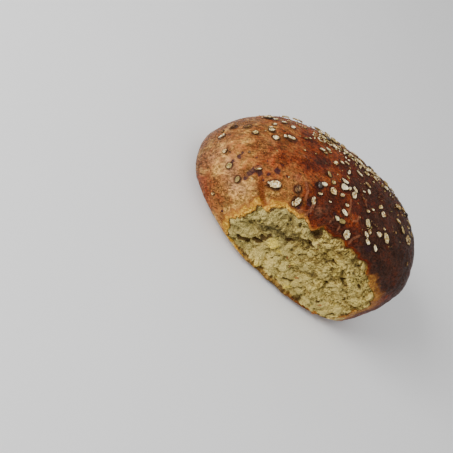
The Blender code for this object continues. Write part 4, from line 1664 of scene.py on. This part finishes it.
    def _ridge_bits(self) -> list[Flake]:
        """The crowd of pale bits along the upper right side, each within a few pixels of a traced line."""
        rng = np.random.default_rng(self.seed + 3)
        along = rng.uniform(0.0, len(self.ridge_px) - 1.0, self.ridge_bits)
        px, py = (np.interp(along, np.arange(len(self.ridge_px)), column) for column in zip(*self.ridge_px))
        across = self.ridge_width * rng.beta(1.1, 2.2, self.ridge_bits)
        length = 0.9 + 1.3 * rng.beta(1.2, 2.2, self.ridge_bits)
        width = length * rng.uniform(0.35, 0.90, self.ridge_bits)
        turn, tone = rng.uniform(0.0, 180.0, self.ridge_bits), rng.uniform(0.25, 1.0, self.ridge_bits)
        right, down = self.ridge_aside
        places = zip(px + right * across, py + down * across, length, width, turn, tone)
        return self._shown(tuple(Shown(*map(float, place)) for place in places))

    def _dark_seeds(self) -> list[Flake]:
        """The black seed beside the white flake, and a few more at the back."""
        even = np.full(self.sides, 0.5)
        seeds = [flake._replace(swell=even, tip=0.0) for flake in self._shown(SHOWN_SEEDS)]
        for x, y, turn in self.back_seeds:
            point, normal, tangent = self._frame_at(self.shape.direction_over(x, y))
            seeds.append(Flake(point, normal, tangent, *self.back_seed_size, turn, 0.0, even, 0.0))
        return seeds

    def halo(self) -> Array:
        """How near each point of the crust is to a flake, for the darker crust round them: egg wash that
        pooled there, and painted shade from the flakes.
        """
        best = np.zeros(self.crust.base.shape[:2])
        for flake in self.flakes + self.seeds:
            away = np.linalg.norm(self.crust.base - flake.point, axis=-1) / (self.halo_reach * flake.length)
            best = np.maximum(best, np.exp(-(away**4)))
        return best

    def build(self, oats: bpy.types.Material, seeds: bpy.types.Material) -> list[bpy.types.Object]:
        """Makes the topping's pieces.

        Args:
            oats: The material of flakes, bits and bran.
            seeds: The material of the dark seeds.

        Returns:
            The flakes, the bits and the seeds.
        """
        large = Scatter(
            Form.FLAKE, corners=7, between=2, seed=82, thickness=0.00038, thickness_share=0.09, sink=0.48,
            fray=0.34,
        )
        small = Scatter(
            Form.BIT, corners=6, between=1, seed=83, thickness=0.00028, thickness_share=0.16, sink=0.40
        )
        seed_form = Scatter(
            Form.SEED, corners=12, between=1, seed=84, thickness=0.0002, thickness_share=0.42, sink=0.35,
            curl=0.0, fray=0.0,
        )
        return [
            large.mesh(self.flakes, self.shape).build("oat_flakes", oats, self.sharp_degrees),
            small.mesh(self.bits, self.shape).build("flake_bits", oats, self.sharp_degrees),
            seed_form.mesh(self.seeds, self.shape).build("dark_seeds", seeds),
        ]


@dataclass
class CarrotShreds:
    """Carrot shreds baked into the crumb, which show on the torn face."""

    shape: RollShape
    crumb: Crumb
    seed: int = 91
    sides: int = 7
    steps: int = 9
    known: tuple[Shown, ...] = (
        Shown(319.8, 304.4, 3.0, 1.2, -5, 0.0), Shown(318.7, 241.7, 1.8, 1.1, 70, 0.0),
        Shown(289.5, 265.0, 2.0, 0.8, 50, 0.0), Shown(313.0, 309.5, 2.0, 1.0, -40, 0.0),
    )
    drawn: int = 3
    drawn_length: tuple[float, float] = (0.0012, 0.0024)
    drawn_width: tuple[float, float] = (0.00025, 0.00045)
    column_margin: int = 40
    row_margin: int = 20
    most_bow: float = 0.0005

    def shred(self, place: Array, length: float, width: float, turn: float, bow: float) -> Array:
        """One shred: a flattened tube along a bowed line, thinner at its ends.

        The line is x = length t and z = bow (1 - (2 t) squared), for t from -1/2 to 1/2, turned in the tear's
        plane. The half width follows the root of 1 - (2 t) squared.

        Args:
            place: The middle of the shred.
            length: Its length.
            width: Its half width.
            turn: Its turn in the tear's plane, in radians.
            bow: How far its middle is pushed aside.

        Returns:
            Rings of points.
        """
        t = np.linspace(-0.5, 0.5, self.steps)[:, None]
        angle = np.arange(self.sides) / self.sides * TURN
        wide = width * np.sqrt(np.clip(1.02 - (2.0 * t) ** 2, 0.0, 1.0))
        along = np.broadcast_to(length * t, (self.steps, self.sides))
        across = bow * (1.0 - 4.0 * t**2) + wide * np.cos(angle)
        out = 0.0002 * np.sin(math.pi * (t + 0.5)) + 0.5 * wide * np.sin(angle)
        x = along * math.cos(turn) - across * math.sin(turn)
        z = along * math.sin(turn) + across * math.cos(turn)
        return place + np.stack([x, -out, z], axis=-1)

    def build(self, finish: bpy.types.Material) -> bpy.types.Object:
        """Makes all the shreds as one piece.

        Args:
            finish: The carrot's material.

        Returns:
            The shreds.
        """
        rng = np.random.default_rng(self.seed)
        front = np.stack([self.crumb.x, self.crumb.front, self.crumb.z], axis=-1)
        tear_normal = np.array([0.0, -1.0, 0.0])
        shreds = []
        for one in self.known:
            way = self.crumb.camera.along(one.turn, tear_normal)
            place = front[self.crumb.seen.index(one.px, one.py)]
            shreds.append((place, one.length * MM, one.width * MM / 2.0, math.atan2(way[2], way[0])))
        for _ in range(self.drawn):
            column = rng.integers(self.column_margin, self.crumb.columns - self.column_margin)
            row = rng.integers(self.row_margin, self.crumb.rows - self.row_margin)
            length, width = rng.uniform(*self.drawn_length), rng.uniform(*self.drawn_width)
            shreds.append((front[column, row], length, width, rng.uniform(0.0, math.pi)))
        whole = self.steps * self.sides
        points, faces = [], []
        for index, (place, length, width, turn) in enumerate(shreds):
            first = index * (whole + 2)
            bow = rng.uniform(-self.most_bow, self.most_bow)
            rings = self.shred(place, length, width, turn, bow).reshape(-1, 3)
            ends = np.stack([rings[: self.sides].mean(axis=0), rings[-self.sides :].mean(axis=0)])
            points.append(np.concatenate([rings, ends]))
            start = np.arange(first, first + self.sides)
            faces.append(ring_quads(self.steps, self.sides, first)[:, ::-1])
            faces.append(fan(start, first + whole)[:, ::-1])
            faces.append(fan(start + whole - self.sides, first + whole + 1))
        data = MeshData(self.shape.placed(np.concatenate(points)), faces)
        return data.build("carrot_shreds", finish)


@dataclass
class Studio:
    """A pale floor, a broad lamp on the photograph's upper left, a weaker one opposite and a bright sky."""

    floor_side: float = 6.0
    key_watts: float = 12.0
    key_size: float = 0.55
    lamp_distance: float = 0.9
    fill_watts: float = 0.8
    sky: float = 0.62
    floor_shades: Pair = ((0.90, 0.90, 0.90), (0.93, 0.93, 0.93))
    key_way: tuple[float, float, float] = (-0.45, 0.55, 0.75)
    fill_way: tuple[float, float, float] = (0.90, 0.30, 0.60)

    def lamp(self, name: str, towards: Array, watts: float) -> bpy.types.Object:
        """A square lamp that shines on the roll from a direction.

        Args:
            name: The lamp's name.
            towards: The direction from the roll to the lamp.
            watts: Its power.

        Returns:
            The lamp.
        """
        data = bpy.data.lights.new(name, "AREA")
        data.energy = watts
        data.size = self.key_size
        made = bpy.data.objects.new(name, data)
        back = unit(towards)
        side = unit(np.cross([0.0, 0.0, 1.0], back))
        pose = np.eye(4)
        pose[:3, :3] = np.stack([side, np.cross(back, side), back], axis=1)
        pose[:3, 3] = back * self.lamp_distance
        made.matrix_world = Matrix(pose.tolist())
        bpy.context.scene.collection.objects.link(made)
        return made

    def build(self, camera: PhotoCamera) -> None:
        """Makes the floor, the lamps and the sky.

        Args:
            camera: The photograph's view, whose upper left the light comes from.
        """
        half = self.floor_side / 2.0
        corners = np.array([[-half, -half, 0.0], [half, -half, 0.0], [half, half, 0.0], [-half, half, 0.0]])
        finish = Finish("pale_floor", roughness=0.9, specular=0.1)
        grain = finish.noise(0.05, 2.0)
        finish.set("Base Color", finish.mix(grain, *self.floor_shades))
        floor = MeshData(corners, [np.array([[0, 1, 2, 3]])]).build("floor", finish.material)
        axes = camera.pose[1]
        self.lamp("key_lamp", axes @ np.array(self.key_way), self.key_watts)
        self.lamp("fill_lamp", axes @ np.array(self.fill_way), self.fill_watts)
        world = bpy.data.worlds.new("bright_room")
        world.use_nodes = True
        sky = world.node_tree.nodes["Background"]
        sky.inputs["Color"].default_value = (1.0, 1.0, 1.0, 1.0)
        sky.inputs["Strength"].default_value = self.sky
        bpy.context.scene.world = world


def settle(piece: bpy.types.Object, slot: str) -> None:
    """Lets a piece ride with the roll, and logs its face count with the slot it is meant for."""
    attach(piece, BODY)
    LOG.info("%s: %d faces, slot %s", piece.name, len(piece.data.polygons), slot)


def main() -> None:
    """Builds the roll's pieces in order, then the studio."""
    shape = RollShape()
    camera = PhotoCamera()
    rim = TornRim(shape, camera)
    crust = Crust(shape, rim, camera)
    crumb = Crumb(shape, rim, camera)
    topping = Topping(shape, crust)

    crust_piece = crust.build(CrustFinish().material, topping.halo())
    settle(crust_piece, "crust")
    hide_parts("bread_roll")
    settle(crumb.build(CrumbFinish().material), "crumb")
    scattered = topping.build(OatFinish().material, SeedFinish().material)
    for piece, slot in zip(scattered, ("oats", "oats", "seeds")):
        settle(piece, slot)
    settle(CarrotShreds(shape, crumb).build(CarrotFinish().material), "carrot")
    camera.build(shape)
    Studio().build(camera)


if __name__ == "__main__":
    main()
